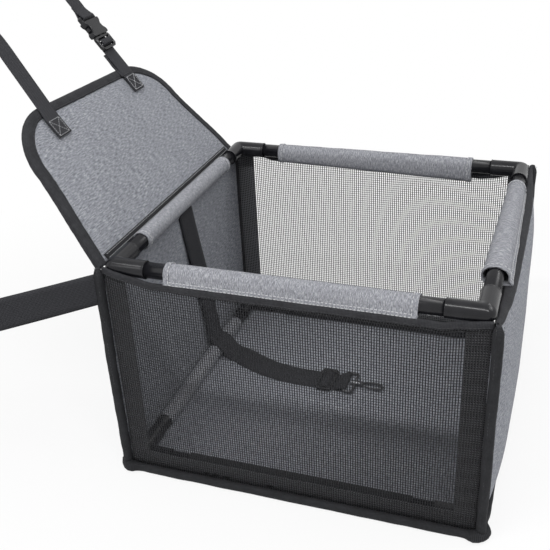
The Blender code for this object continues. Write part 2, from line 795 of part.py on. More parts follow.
def prong(name, sign, parent):
    """Spring arm of the plug, with its thumb button; its origin is on the flexing root."""
    root = PRONG_ROOT_RADIUS
    button = PRONG_BUTTON_HALF - PRONG_ROOT_OFFSET
    tip = PRONG_LENGTH - root
    outline = [(x, y) for x, y in circle_points(root, 6, math.pi, 2 * math.pi)]
    outline += [
        (root, tip * 0.32),
        (button * 0.60, tip * 0.42),
        (button * 0.93, tip * 0.50),
        (button, tip * 0.62),
        (button * 0.90, tip * 0.76),
        (button * 0.50, tip * 0.90),
        (root * 0.8, tip),
        (-root * 0.2, tip),
        (-root, tip * 0.90),
    ]
    outline = [(sign * x, y) for x, y in outline]
    arm = outline_solid(name, [outline], PLUG_THICKNESS)
    place(arm, name, BUCKLE_PLASTIC, parent)
    return bevel(arm, root / 4, 1, weld=True)


def socket_outline():
    """Plan of the socket body: a flared mouth, a waist at the buttons and a full shoulder."""
    half, waist = BUCKLE_HALF_WIDTH, SOCKET_WAIST_HALF
    shares = [(0.00, 0.72), (0.05, 0.92), (0.14, 1.0), (0.24, 0.95)]
    right = [(waist + (half - waist) * reach, SOCKET_LENGTH * up) for up, reach in shares]
    for step in range(7):
        swing = math.pi * step / 6
        dip = (half - waist) * (0.35 + 0.65 * math.sin(swing))
        right.append((half - dip, SOCKET_LENGTH * (0.30 + 0.075 * step)))
    right += [(half, SOCKET_LENGTH * 0.84), (half, SOCKET_LENGTH)]
    return right + [(-x, y) for x, y in reversed(right)]


def buckle_socket(parent, depth):
    """Socket of the buckle: a flat shell open at its mouth and sides, with a strap bar."""
    frame = face_on_frame(STRAP_OFFSET, depth, BUCKLE_MOUTH)
    body = as_mesh(outline_solid("buckle_socket", [socket_outline()], SOCKET_THICKNESS))
    place(body, "buckle_socket", BUCKLE_PLASTIC, parent, frame)
    bevel(body, SOCKET_WALL * 0.6, 2)
    slot_half = HEADREST_WEBBING / 2 + 3 * FIT
    low = SOCKET_LENGTH - SOCKET_WALL
    slot_low = SOCKET_LENGTH + FIT
    slot_high = slot_low + BAR_SLOT
    high = slot_high + BAR_THICKNESS
    bar_half = BUCKLE_HALF_WIDTH - FIT
    bar_outline = [
        (-bar_half, low),
        (bar_half, low),
        (bar_half, high - BAR_THICKNESS / 2),
        (bar_half - BAR_THICKNESS / 2, high),
        (BAR_THICKNESS / 2 - bar_half, high),
        (-bar_half, high - BAR_THICKNESS / 2),
    ]
    slot = box_outline(slot_half, slot_low, slot_high)
    bar = as_mesh(outline_solid("buckle_strap_bar", [bar_outline, slot], BAR_FRAME_THICKNESS))
    place(bar, "buckle_strap_bar", BUCKLE_PLASTIC, parent, frame, cutters)
    cut(body, bar, "UNION")
    cavity_half = PRONG_BUTTON_HALF - SOCKET_WALL - FIT
    cavity_high = PRONG_LENGTH + 3 * FIT
    cavity = as_mesh(
        outline_solid(
            "buckle_cavity",
            [box_outline(cavity_half, -SOCKET_WALL, cavity_high)],
            PLUG_THICKNESS + 2 * FIT,
        )
    )
    place(cavity, "buckle_cavity", BUCKLE_PLASTIC, parent, frame, cutters)
    return cut(body, cavity)


def buckle_strap(parent, strap_depth, plug_depth):
    """Short strap from the flap's patch through the ladder of the plug."""
    behind = strap_depth
    front = plug_depth - PLUG_THICKNESS / 2 - 2 * FIT - HALF_WEBBING
    low = BUCKLE_MOUTH - FIT - PLUG_LENGTH
    bar_low = low + LADDER_BAR + LADDER_SLOT
    bar_high = bar_low + LADDER_BAR
    ladder_top = bar_high + LADDER_SLOT
    half_slot = LADDER_SLOT / 2
    swing = LADDER_SLOT / 5
    route = [
        (PATCH_START, behind),
        (PATCH_START + HEADREST_WEBBING, behind),
        (low - LADDER_SLOT, behind),
        (low + LADDER_BAR - swing, behind),
        (bar_low - half_slot - swing, (plug_depth + 3 * behind) / 4),
        (bar_low - half_slot, plug_depth),
        (bar_low - half_slot + swing, (plug_depth + 3 * front) / 4),
        (bar_low, front),
        (bar_high, front),
        (bar_high + half_slot - swing, (plug_depth + 3 * front) / 4),
        (bar_high + half_slot, plug_depth),
        (bar_high + half_slot + swing, (plug_depth + 3 * behind) / 4),
        (ladder_top, behind),
        (BUCKLE_MOUTH - 2 * FIT, behind),
    ]
    points = [Vector((STRAP_OFFSET, depth, height)) for height, depth in route]
    strap = ribbon("buckle_strap", points, HEADREST_WEBBING, side=(1, 0, 0))
    return place(strap, "buckle_strap", BLACK_WEBBING, parent)


# Tether route, hand-chosen: across, out from the back tube and share of the wall's height
TETHER_ON_WALL = [
    (0.0125, 0.0098, 0.9568),
    (0.0148, 0.0098, 0.9211),
    (0.0225, 0.0098, 0.8083),
    (0.0320, 0.0097, 0.6767),
    (0.0415, 0.0094, 0.5451),
    (0.0500, 0.0090, 0.4135),
    (0.0560, 0.0082, 0.3008),
    (0.0590, 0.0068, 0.2068),
    (0.0600, 0.0050, 0.1429),
]
# Over the lower back tube and across the floor: across, out from the tube's axis, and up from it
TETHER_OVER_TUBE = [
    (0.0602, 0.0010, 0.0125),
    (0.0602, -0.0050, 0.0111),
    (0.0602, -0.0120, 0.0056),
    (0.0600, -0.0200, -0.0039),
    (0.0596, -0.0280, -0.0091),
    (0.0562, -0.0400, -0.0098),
    (0.0500, -0.0520, -0.0099),
    (0.0420, -0.0700, -0.0099),
    (0.0350, -0.0900, -0.0099),
    (0.0300, -0.1150, -0.0099),
]
# Through the slide: along from its middle, and up from the floor
TETHER_IN_SLIDE = [
    (0.0380, 0.0010),
    (0.0210, 0.0010),
    (0.0130, 0.0010),
    (0.0090, 0.0012),
    (0.0058, 0.0035),
    (0.0035, 0.0062),
    (0.0000, 0.0067),
    (-0.0035, 0.0062),
    (-0.0058, 0.0035),
    (-0.0090, 0.0012),
    (-0.0125, 0.0010),
    (-0.0145, 0.0010),
]


def tether_route():
    """Points of the tether: down the back wall, over the lower tube and along the floor."""
    route = [(x, HALF_LENGTH + out, WALL_TOP * share) for x, out, share in TETHER_ON_WALL]
    route += [(x, HALF_LENGTH + out, BASE_AXIS + up) for x, out, up in TETHER_OVER_TUBE]
    route += [(TETHER_LINE, ADJUSTER_PLACE + along, FLOOR_TOP + up) for along, up in TETHER_IN_SLIDE]
    return route


def tether_strap():
    """Safety tether from the seam of the back wall to its adjuster."""
    strap = ribbon("tether_strap", smooth_route(tether_route(), 2), WIDE_WEBBING)
    return place(strap, "tether_strap", BLACK_WEBBING)


def tether_adjuster():
    """Three-bar slide that the tether weaves through."""
    half_length = ADJUSTER_LENGTH / 2
    half_width = WIDE_WEBBING / 2 + ADJUSTER_MARGIN
    slot_half = WIDE_WEBBING / 2 + 3 * FIT
    rounding = ADJUSTER_MARGIN
    outline = []
    for sign_x, sign_y, start in ((1, -1, -90), (1, 1, 0), (-1, 1, 90), (-1, -1, 180)):
        corner = circle_points(rounding, 4, math.radians(start), math.radians(start + 90))
        centre = (sign_x * (half_width - rounding), sign_y * (half_length - rounding))
        outline += [(centre[0] + x, centre[1] + y) for x, y in corner]
    middle = ADJUSTER_BAR / 2
    edge = half_length - ADJUSTER_BAR * 0.8
    slots = [box_outline(slot_half, low, high) for low, high in ((middle, edge), (-edge, -middle))]
    slide = outline_solid("tether_adjuster", [outline, *slots], ADJUSTER_THICKNESS)
    height = FLOOR_TOP + 2 * FIT + WEBBING_THICKNESS + ADJUSTER_THICKNESS / 2 + FIT
    frame = Matrix.Translation((TETHER_LINE, ADJUSTER_PLACE, height))
    place(slide, "tether_adjuster", BUCKLE_PLASTIC, None, frame)
    return bevel(slide, ADJUSTER_THICKNESS / 5, 1, weld=True)


def hook_height():
    """Height of the swivel's axis: the middle of the webbing loop."""
    return FLOOR_TOP + 2 * FIT + WEBBING_THICKNESS + TETHER_LOOP_RADIUS


def tether_loop(start):
    """Sewn end of the tether round the eye; returns the place of the loop's middle."""
    tail = ADJUSTER_LENGTH * 0.2
    middle_height = FLOOR_TOP + FIT + WEBBING_THICKNESS
    loop = strap_solid(
        "tether_loop",
        WIDE_WEBBING,
        0,
        [(TETHER_LOOP_RADIUS, tail), None],
        hook_height() - middle_height,
    )
    frame = Matrix(((0, 0, -1, TETHER_LINE), (-1, 0, 0, start), (0, 1, 0, middle_height), (0, 0, 0, 1)))
    place(loop, "tether_loop", BLACK_WEBBING, None, frame)
    return start - tail - LOOP_TAPER * TETHER_LOOP_RADIUS


def swivel_eye(parent):
    """Rectangular eye with the bored hub that the hook turns in; X points to the hook."""
    back = -EYE_LENGTH
    half = WIDE_WEBBING / 2 + EYE_WIRE + 3 * FIT
    points = []
    for x, y, start in (
        (0, half, 0),
        (back, half, 90),
        (back, -half, 180),
        (0, -half, 270),
    ):
        centre_x = x - EYE_ROUNDING if x == 0 else x + EYE_ROUNDING
        centre_y = y - math.copysign(EYE_ROUNDING, y)
        for spot_x, spot_y in circle_points(EYE_ROUNDING, 4, math.radians(start), math.radians(start + 90)):
            points.append((centre_x + spot_x, centre_y + spot_y, 0))
    ring = as_mesh(wire("swivel_eye", points, EYE_WIRE, closed=True))
    place(ring, "swivel_eye", HOOK_METAL, parent, Matrix.Identity(4))
    along = Matrix.Rotation(math.pi / 2, 4, "Y")
    bpy.ops.mesh.primitive_cylinder_add(vertices=TUBE_SIDES, radius=HUB_RADIUS, depth=HUB_LENGTH)
    hub = bpy.context.object
    place(hub, "eye_hub", HOOK_METAL, parent, along, cutters)
    cut(ring, hub, "UNION")
    bpy.ops.mesh.primitive_cylinder_add(vertices=TUBE_SIDES, radius=SHANK_RADIUS + FIT, depth=2 * HUB_LENGTH)
    bore = bpy.context.object
    place(bore, "eye_bore", HOOK_METAL, parent, along, cutters)
    cut(ring, bore)
    return ring


def shoulder_spot():
    """Middle of the hook's flat shoulder, in the hook's own frame."""
    along = HUB_LENGTH / 2 + FIT + HOOK_COLLAR + HOOK_SHOULDER / 2
    return Vector((along, -HOOK_WIRE / 3, 0))


def snap_hook(parent):
    """Snap hook: riveted shank, collar, shoulder and the bent hook wire."""
    hub_half = HUB_LENGTH / 2
    length, half = HOOK_LENGTH, HOOK_HALF
    start = hub_half + FIT
    route_shares = [
        (0.08, 0.00),
        (0.16, 0.14),
        (0.28, 0.60),
        (0.46, 0.97),
        (0.68, 1.00),
        (0.90, 0.72),
        (1.00, 0.00),
        (0.93, -0.68),
        (0.79, -0.98),
        (NOSE_SHARE, -1.00),
    ]
    points = [Vector((start + length * x, half * y, 0)) for x, y in route_shares]
    body = as_mesh(wire("snap_hook", smooth_route(points, 2), HOOK_WIRE))
    place(body, "snap_hook", HOOK_METAL, parent, Matrix.Identity(4))
    turned = [
        (-hub_half - FIT - SHANK_HEAD, SHANK_HEAD_RADIUS),
        (-hub_half - FIT, SHANK_HEAD_RADIUS),
        (-hub_half - FIT, SHANK_RADIUS),
        (hub_half + FIT, SHANK_RADIUS),
        (hub_half + FIT, SHANK_HEAD_RADIUS),
        (hub_half + FIT + HOOK_COLLAR, SHANK_HEAD_RADIUS),
        (hub_half + FIT + HOOK_COLLAR * 1.5, HOOK_WIRE),
    ]
    turn = [2 * math.pi * i / TUBE_SIDES for i in range(TUBE_SIDES)]
    rings = [[(x, r * math.cos(a), r * math.sin(a)) for a in turn] for x, r in turned]
    shank = loft("hook_shank", rings)
    place(shank, "hook_shank", HOOK_METAL, parent, Matrix.Identity(4), cutters)
    cut(body, shank, "UNION")
    bpy.ops.mesh.primitive_cylinder_add(vertices=TUBE_SIDES, radius=HOOK_SHOULDER, depth=2 * HOOK_WIRE * 0.9)
    shoulder = bpy.context.object
    place(shoulder, "hook_shoulder", HOOK_METAL, parent, Matrix.Translation(shoulder_spot()), cutters)
    cut(body, shoulder, "UNION")
    return body


def hook_gate(parent, tip):
    """Spring gate across the mouth of the hook; its origin is on its pivot."""
    gate = wire("hook_gate", [Vector((0, 0, 0)), tip / 2, tip], GATE_WIRE)
    return place(gate, "hook_gate", HOOK_METAL, parent, Matrix.Identity(4))


# Lower frame, floor and walls
elbow = elbow_mesh()
for side_name in SIDES:
    frame_tube(f"base_tube_{side_name}", side_name, BASE_AXIS)
    sleeve_finish = GREY_CLOTH if side_name in ("front", "back") else BLACK_TAPE
    sleeve(f"base_sleeve_{side_name}", side_name, BASE_AXIS, BASE_AXIS - FLOOR_TOP - FIT, sleeve_finish)
for corner_name, (sign_x, sign_y, quarter) in CORNERS.items():
    fitting = bpy.data.objects.new(f"base_elbow_{corner_name}", elbow)
    frame = Matrix.Rotation(quarter * math.pi / 2, 4, "Z")
    frame.translation = (sign_x * HALF_WIDTH, sign_y * HALF_LENGTH, BASE_AXIS)
    place(fitting, f"base_elbow_{corner_name}", TUBE_PLASTIC, None, frame)
    corner_roll(f"corner_binding_{corner_name}", sign_x, sign_y)

floor_size = (FRAME_WIDTH + 2 * RING_REACH, FRAME_LENGTH + 2 * RING_REACH)
for floor_name, floor_low, floor_thickness, floor_finish in (
    ("floor_board", 0.0, BOARD_THICKNESS, BOARD),
    ("floor_lining", BOARD_THICKNESS + FIT, LINING_THICKNESS, GREY_CLOTH),
):
    bpy.ops.mesh.primitive_cube_add(size=1.0, location=(0, 0, floor_low + floor_thickness / 2))
    sheet = bpy.context.object
    sheet.scale = (*floor_size, floor_thickness)
    bpy.ops.object.transform_apply(location=False, rotation=False, scale=True)
    place(sheet, floor_name, floor_finish)

base_binding()
for side_name in SIDES:
    top_tape(f"top_binding_{side_name}", side_name)

cloth_wall("front_wall", "front", FRONT_BULGE)
cloth_wall("back_wall", "back", BACK_BULGE)
for side_name in ("left", "right"):
    net_wall(f"{side_name}_net", side_name)
    net_border(f"{side_name}_net_border", side_name)

# Upper frame, which sinks towards the lower one when the seat is folded flat
rim = pivot("rim_slide", Matrix.Translation((0, 0, RIM_HEIGHT)))
for side_name in SIDES:
    frame_tube(f"rim_tube_{side_name}", side_name, 0, rim)
    tuck = HEM_TUCK if side_name == "back" else 0.0
    sleeve(f"rim_sleeve_{side_name}", side_name, 0, RIM_HEIGHT - TAPE_TOP - FIT, GREY_CLOTH, rim, tuck)
for corner_name, (sign_x, sign_y, quarter) in CORNERS.items():
    fitting = bpy.data.objects.new(f"rim_elbow_{corner_name}", elbow)
    frame = Matrix.Rotation(quarter * math.pi / 2, 4, "Z")
    frame.translation = (sign_x * HALF_WIDTH, sign_y * HALF_LENGTH, 0)
    place(fitting, f"rim_elbow_{corner_name}", TUBE_PLASTIC, rim, frame)

# Strap that goes round the back of the car's seat, from the corner seam
slant = math.sqrt(0.5)
strap_out = CORNER_ROLL_RADIUS + FIT
strap_frame = Matrix(
    (
        (-slant, -slant, 0, -HALF_WIDTH - ROLL_CENTRE - slant * strap_out),
        (slant, -slant, 0, HALF_LENGTH + ROLL_CENTRE + slant * strap_out),
        (0, 0, 1, TAPE_TOP - RIM_HEIGHT - WIDE_WEBBING / 2 + SEAT_BACK_STRAP_DROP / 3),
        (0, 0, 0, 1),
    )
)
seat_back_strap = strap_solid(
    "seat_back_strap", WIDE_WEBBING, SEAT_BACK_STRAP_LENGTH, [(END_LOOP_RADIUS, END_LOOP_TAIL), None]
)
place(seat_back_strap, "seat_back_strap", BLACK_WEBBING, rim, strap_frame)

# Headrest flap on the back tube
lean = Matrix.Rotation(-FLAP_LEAN, 4, "X")
lean.translation = (0, HALF_LENGTH, 0)
flap = pivot("flap_hinge", lean, rim)
flap_front(flap)
flap_back(flap)
flap_tape(flap)
flap_piping(flap)
strap_depth = strap_seat()
left_strap = strap_solid(
    "headrest_strap_left",
    HEADREST_WEBBING,
    STRAP_REACH - PATCH_START,
    [(END_LOOP_RADIUS, END_LOOP_TAIL), None],
)
left_frame = edge_frame(-STRAP_OFFSET, strap_depth, PATCH_START)
place(left_strap, "headrest_strap_left", BLACK_WEBBING, flap, left_frame)
plug_depth = strap_depth - PLUG_THICKNESS / 2 - 2 * FIT - HALF_WEBBING
buckle_strap(flap, strap_depth, plug_depth)
buckle_plug(flap, plug_depth)
for prong_name, prong_sign in (("left", -1), ("right", 1)):
    root = face_on_frame(
        STRAP_OFFSET + prong_sign * PRONG_ROOT_OFFSET, plug_depth, BUCKLE_MOUTH + PRONG_ROOT_RADIUS
    )
    prong(f"buckle_prong_{prong_name}", prong_sign, pivot(f"prong_root_{prong_name}", root, flap))

# Socket and upper strap, which pull off the plug together
release = pivot("buckle_release", Matrix.Identity(4), flap)
buckle_socket(release, plug_depth)
bar_middle = BUCKLE_MOUTH + SOCKET_LENGTH + FIT + BAR_SLOT + BAR_THICKNESS / 2
keeper_radius = math.hypot(BAR_THICKNESS / 2, BAR_FRAME_THICKNESS / 2) + FIT
keeper_tail = END_LOOP_TAIL / 2
keeper_start = bar_middle + keeper_tail + LOOP_TAPER * keeper_radius
right_strap = strap_solid(
    "headrest_strap_right",
    HEADREST_WEBBING,
    STRAP_REACH - keeper_start,
    [(END_LOOP_RADIUS, END_LOOP_TAIL), (keeper_radius, keeper_tail)],
)
right_frame = edge_frame(STRAP_OFFSET, plug_depth, keeper_start)
place(right_strap, "headrest_strap_right", BLACK_WEBBING, release, right_frame)

# Safety tether with its hardware
tether_strap()
tether_adjuster()
loop_start = tether_route()[-1][1] - FIT
loop_middle = tether_loop(loop_start)
eye_bar = loop_middle - TETHER_LOOP_RADIUS + EYE_WIRE + FIT
eye_frame = Matrix.Rotation(-math.pi / 2, 4, "Z")
eye_frame.translation = (TETHER_LINE, eye_bar - EYE_LENGTH, hook_height())
eye = pivot("swivel_axis", eye_frame)
swivel_eye(eye)
hook = pivot("hook_turn", Matrix.Identity(4), eye)
snap_hook(hook)
gate_turn = math.radians(-42)
gate_swing = HOOK_SHOULDER + GATE_WIRE + FIT
gate_root = shoulder_spot() + gate_swing * Vector((math.cos(gate_turn), math.sin(gate_turn), 0))
nose_x = HUB_LENGTH / 2 + FIT + HOOK_LENGTH * NOSE_SHARE
gate_pivot = pivot("gate_pivot", Matrix.Translation(gate_root), hook)
hook_gate(gate_pivot, Vector((nose_x - 2 * FIT, -HOOK_HALF, 0)) - gate_root)
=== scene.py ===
"""Dog car seat: its cloth, net, webbing and finishes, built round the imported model.

Metres, +Z up. The seat faces -Y and its headrest flap stands at +Y. Left is -X, right is +X.
"""
from __future__ import annotations

import json
import logging
import math
from dataclasses import dataclass, field
from enum import Enum
from typing import Callable, Iterable, Sequence

import bmesh
import bpy
from mathutils import Matrix, Vector, noise

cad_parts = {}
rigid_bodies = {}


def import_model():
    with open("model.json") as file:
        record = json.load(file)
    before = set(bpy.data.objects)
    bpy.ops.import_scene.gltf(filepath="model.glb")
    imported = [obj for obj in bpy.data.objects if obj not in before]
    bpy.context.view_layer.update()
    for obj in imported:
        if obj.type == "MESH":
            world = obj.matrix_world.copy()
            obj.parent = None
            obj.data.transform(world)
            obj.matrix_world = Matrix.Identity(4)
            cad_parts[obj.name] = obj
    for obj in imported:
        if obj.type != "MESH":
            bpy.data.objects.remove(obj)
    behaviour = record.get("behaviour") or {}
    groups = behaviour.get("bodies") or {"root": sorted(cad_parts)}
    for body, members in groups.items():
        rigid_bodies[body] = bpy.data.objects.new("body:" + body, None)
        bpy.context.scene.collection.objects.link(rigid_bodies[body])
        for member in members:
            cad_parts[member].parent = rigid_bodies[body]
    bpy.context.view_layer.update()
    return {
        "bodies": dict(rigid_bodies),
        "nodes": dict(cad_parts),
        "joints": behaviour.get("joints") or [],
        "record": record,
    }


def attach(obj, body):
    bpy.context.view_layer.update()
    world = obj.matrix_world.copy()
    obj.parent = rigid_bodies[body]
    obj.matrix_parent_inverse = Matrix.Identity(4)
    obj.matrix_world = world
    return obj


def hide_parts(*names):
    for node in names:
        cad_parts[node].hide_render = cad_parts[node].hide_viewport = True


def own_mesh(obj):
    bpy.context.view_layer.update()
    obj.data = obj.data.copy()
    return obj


LOG = logging.getLogger("dog_car_seat")
UP = Vector((0.0, 0.0, 1.0))
TURN = 2 * math.pi
WEAVE_MAP = "Weave"
Pair = tuple[float, float]
Colour = tuple[float, float, float]
Place = tuple[float, float, float]


# Sizes shared by the sub-assemblies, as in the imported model
HALF_WIDTH = 0.190
HALF_LENGTH = 0.200
RIM_HEIGHT = 0.277
BASE_AXIS = 0.0159
FLOOR_TOP = 0.0050
TUBE_RADIUS = 0.009
ELBOW_RADIUS = 0.0104
ELBOW_LEG = 0.039
SLEEVE_SETBACK = 0.064
WALL_TOP = 0.266
WALL_BOTTOM = 0.001
WALL_SPAN_EXTRA = 0.0080
CLOTH_MIDDLE = 0.01165
NET_MIDDLE = 0.0120
BORDER_MIDDLE = 0.0111
ROLL_CENTRE = 0.0138
CLOTH_THICKNESS = 0.0014
WEBBING_THICKNESS = 0.0014
HALF_WEBBING = WEBBING_THICKNESS / 2
# The webbing's sheet is a hair thinner, so that its layers don't share a face
WEBBING_SHEET = WEBBING_THICKNESS - 0.0001
WEBBING_COLUMNS = 6
# End loop of a strap: its bore, its centre and its neck beyond the seam
LOOP_BORE = 0.006
LOOP_REACH = 0.034
LOOP_NECK = 0.016
LOOP_GAP = 0.0005
LOOP_ROWS = (0.004, 0.010)
# How far the walls' tops rise at a corner, by whether it is on the right and at the back
CORNER_TIPS = {(False, False): 0.0060, (True, False): 0.0125, (True, True): 0.0085, (False, True): 0.0130}
# Corners in turn from the front left, each with its side across and its side along
CORNERS = {"front_left": (-1, -1), "front_right": (1, -1), "back_right": (1, 1), "back_left": (-1, 1)}


class Body(Enum):
    """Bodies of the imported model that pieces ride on."""

    BASE = "base"
    RIM = "rim"
    FLAP = "flap"
    SOCKET = "socket"
    SEAT_BACK_WEBBING = "seat_back_webbing"


class Side(Enum):
    """The four sides of the seat, each with the way it faces."""

    FRONT = (0, -1)
    BACK = (0, 1)
    LEFT = (-1, 0)
    RIGHT = (1, 0)

    @property
    def label(self) -> str:
        """Name of the side as node names have it."""
        return self.name.lower()

    @property
    def outward(self) -> Vector:
        """Way that the side faces."""
        return Vector((*self.value, 0.0))

    @property
    def across(self) -> Vector:
        """Way along the side, to the right as seen from outside."""
        return UP.cross(self.outward)

    @property
    def distance(self) -> float:
        """From the middle of the seat to the axis of the side's tubes."""
        return HALF_LENGTH if self in (Side.FRONT, Side.BACK) else HALF_WIDTH

    @property
    def half(self) -> float:
        """Half the length of the side between the axes of its neighbours."""
        return HALF_WIDTH if self in (Side.FRONT, Side.BACK) else HALF_LENGTH

    def spot(self, along: float, out: float, up: float) -> Vector:
        """Point given along the side, out from its tube's axis and above the ground."""
        return self.outward * (self.distance + out) + self.across * along + UP * up


def ripple(where: Sequence[float], seed: float = 0.0) -> float:
    """Smooth wander between about -1 and 1, always the same at the same place."""
    return noise.noise(Vector((where[0] + seed * 17.3, where[1] - seed * 9.1, seed * 3.7)))


def ease(value: float, low: float, high: float) -> float:
    """Smooth step from 0 at low to 1 at high."""
    share = min(1.0, max(0.0, (value - low) / (high - low)))
    return share * share * (3 - 2 * share)


class Trail:
    """Chain of points that can be walked by share of its length."""

    def __init__(self, points: Iterable[Sequence[float]]) -> None:
        """Measure the chain.

        Args:
            points: the points, in order, with two or three numbers each.
        """
        self.points = [Vector(point) for point in points]
        self.marks = [0.0]
        for before, after in zip(self.points, self.points[1:]):
            self.marks.append(self.marks[-1] + (after - before).length)

    @property
    def length(self) -> float:
        """Length of the whole chain."""
        return self.marks[-1]

    def at(self, share: float) -> Vector:
        """Point at a share of the length."""
        goal = min(1.0, max(0.0, share)) * self.length
        index = 1
        while goal > self.marks[index] and index < len(self.marks) - 1:
            index += 1
        span = self.marks[index] - self.marks[index - 1]
        part = (goal - self.marks[index - 1]) / span if span else 0.0
        return self.points[index - 1].lerp(self.points[index], part)

    def heading(self, share: float) -> Vector:
        """Direction of the chain at a share of its length."""
        step = 0.002
        return (self.at(share + step) - self.at(share - step)).normalized()


def rounded(points: Sequence[Sequence[float]], steps: int) -> list[Vector]:
    """Points of a smooth curve through the given ones.

    Args:
        points: the points that the curve goes through.
        steps: how many points each stretch gets.

    Returns:
        The curve's points, both ends included.
    """
    route = [Vector(point) for point in points]
    ends = [2 * route[0] - route[1], *route, 2 * route[-1] - route[-2]]
    found = []
    for before, start, end, after in zip(ends, ends[1:], ends[2:], ends[3:]):
        for step in range(steps):
            t = step / steps
            found.append(
                start
                + (end - before) * (t / 2)
                + (2 * before - 5 * start + 4 * end - after) * (t * t / 2)
                + (3 * start - before - 3 * end + after) * (t * t * t / 2)
            )
    found.append(route[-1])
    return found


def end_loop(seam: float) -> list[Pair]:
    """Way of webbing on from its seam, round its end loop and back.

    Args:
        seam: distance along the strap where its sewn part ends.

    Returns:
        Points as distances along the strap and out from its middle.
    """
    radius = LOOP_BORE + HALF_WEBBING
    points = [(seam, HALF_WEBBING), (seam + LOOP_NECK, HALF_WEBBING)]
    for step in range(11):
        angle = math.radians(75 - 150 * step / 10)
        points.append((seam + LOOP_REACH + radius * math.cos(angle), radius * math.sin(angle)))
    return points + [(seam + LOOP_NECK, -HALF_WEBBING), (seam + LOOP_GAP, -HALF_WEBBING)]


# Shader tools


class Tap:
    """One value in a material's nodes, which takes part in Python arithmetic."""

    def __init__(self, board: "Board", socket: bpy.types.NodeSocket) -> None:
        """Keep the socket and the board it is on."""
        self.board = board
        self.socket = socket

    def _maths(self, operation: str, first: object, second: object = 0.0) -> "Tap":
        """Value of a Math node."""
        made = self.board.node("ShaderNodeMath", {"operation": operation}, {0: first, 1: second})
        return Tap(self.board, made.outputs[0])

    def __add__(self, other: object) -> "Tap":
        """Sum."""
        return self._maths("ADD", self, other)

    def __sub__(self, other: object) -> "Tap":
        """Difference."""
        return self._maths("SUBTRACT", self, other)

    def __rsub__(self, other: object) -> "Tap":
        """Difference, from the right."""
        return self._maths("SUBTRACT", other, self)

    def __mul__(self, other: object) -> "Tap":
        """Product."""
        return self._maths("MULTIPLY", self, other)

    def sine(self) -> "Tap":
        """Sine."""
        return self._maths("SINE", self)

    def size(self) -> "Tap":
        """Value without its sign."""
        return self._maths("ABSOLUTE", self)

    def between(self, low: float, high: float) -> "Tap":
        """Smooth step from 0 at low to 1 at high."""
        made = self.board.node(
            "ShaderNodeMapRange",
            {"interpolation_type": "SMOOTHSTEP"},
            {"Value": self, "From Min": low, "From Max": high},
        )
        return Tap(self.board, made.outputs["Result"])


class Board:
    """Node tree of one material."""

    def __init__(self, name: str) -> None:
        """Start a material with a Principled shader."""
        self.material = bpy.data.materials.new(name)
        self.material.use_nodes = True
        self.tree = self.material.node_tree
        self.shader = self.tree.nodes["Principled BSDF"]

    @classmethod
    def over(cls, tree: bpy.types.NodeTree) -> "Board":
        """Board over a tree that is there already, such as the world's."""
        board = cls.__new__(cls)
        board.tree = tree
        return board

    def node(self, kind: str, settings: dict | None = None, sockets: dict | None = None) -> bpy.types.Node:
        """Add a node.

        Args:
            kind: the node's type.
            settings: its properties, set first.
            sockets: values or taps for its inputs, by name or place.

        Returns:
            The node.
        """
        made = self.tree.nodes.new(kind)
        for key, value in (settings or {}).items():
            setattr(made, key, value)
        for key, value in (sockets or {}).items():
            self.feed(made.inputs[key], value)
        return made

    def feed(self, socket: bpy.types.NodeSocket, value: object) -> None:
        """Link or set one input."""
        if isinstance(value, Tap):
            self.tree.links.new(value.socket, socket)
        else:
            socket.default_value = value

    def object_place(self, stretch: Sequence[float] = (1, 1, 1)) -> Tap:
        """Object coordinates, stretched along the axes."""
        source = self.node("ShaderNodeTexCoord")
        return self.stretched(Tap(self, source.outputs["Object"]), stretch)

    def weave_place(self, stretch: Sequence[float] = (1, 1, 1)) -> Tap:
        """Place on the cloth in metres, across and along, stretched."""
        source = self.node("ShaderNodeUVMap", {"uv_map": WEAVE_MAP})
        return self.stretched(Tap(self, source.outputs["UV"]), stretch)

    def stretched(self, place: Tap, stretch: Sequence[float]) -> Tap:
        """Coordinates times a factor for each axis."""
        made = self.node("ShaderNodeMapping", None, {"Vector": place, "Scale": tuple(stretch)})
        return Tap(self, made.outputs["Vector"])

    def axis(self, place: Tap, index: int) -> Tap:
        """One coordinate of a place."""
        made = self.node("ShaderNodeSeparateXYZ", None, {0: place})
        return Tap(self, made.outputs[index])

    def wander(self, place: Tap, scale: float, detail: float, rough: float) -> Tap:
        """Noise from 0 to 1."""
        sockets = {"Vector": place, "Scale": scale, "Detail": detail, "Roughness": rough}
        made = self.node("ShaderNodeTexNoise", None, sockets)
        return Tap(self, made.outputs["Fac"])

    def blend(self, share: object, first: object, second: object) -> Tap:
        """Colour between two colours."""
        pair = {
            6: first if isinstance(first, Tap) else (*first, 1.0),
            7: second if isinstance(second, Tap) else (*second, 1.0),
        }
        made = self.node("ShaderNodeMix", {"data_type": "RGBA", "clamp_factor": True}, {0: share, **pair})
        return Tap(self, made.outputs[2])

    def relief(self, height: Tap, distance: float, strength: float) -> Tap:
        """Normal of a height pattern."""
        sockets = {"Height": height, "Distance": distance, "Strength": strength}
        made = self.node("ShaderNodeBump", None, sockets)
        return Tap(self, made.outputs["Normal"])

    def shown(self) -> Tap:
        """1 for the rays that show a background: the camera's, and those through glass or off gloss."""
        rays = self.node("ShaderNodeLightPath").outputs
        camera, through, gloss = (
            Tap(self, rays[name]) for name in ("Is Camera Ray", "Is Transmission Ray", "Is Glossy Ray")
        )
        return camera + through + gloss

    def done(self, **inputs: object) -> bpy.types.Material:
        """Feed the shader's inputs, whose spaces are written as underscores, and return the material."""
        for key, value in inputs.items():
            if isinstance(value, tuple) and len(value) == 3 and "Color" in key:
                value = (*value, 1.0)
            self.feed(self.shader.inputs[key.replace("_", " ")], value)
        return self.material


# Finishes


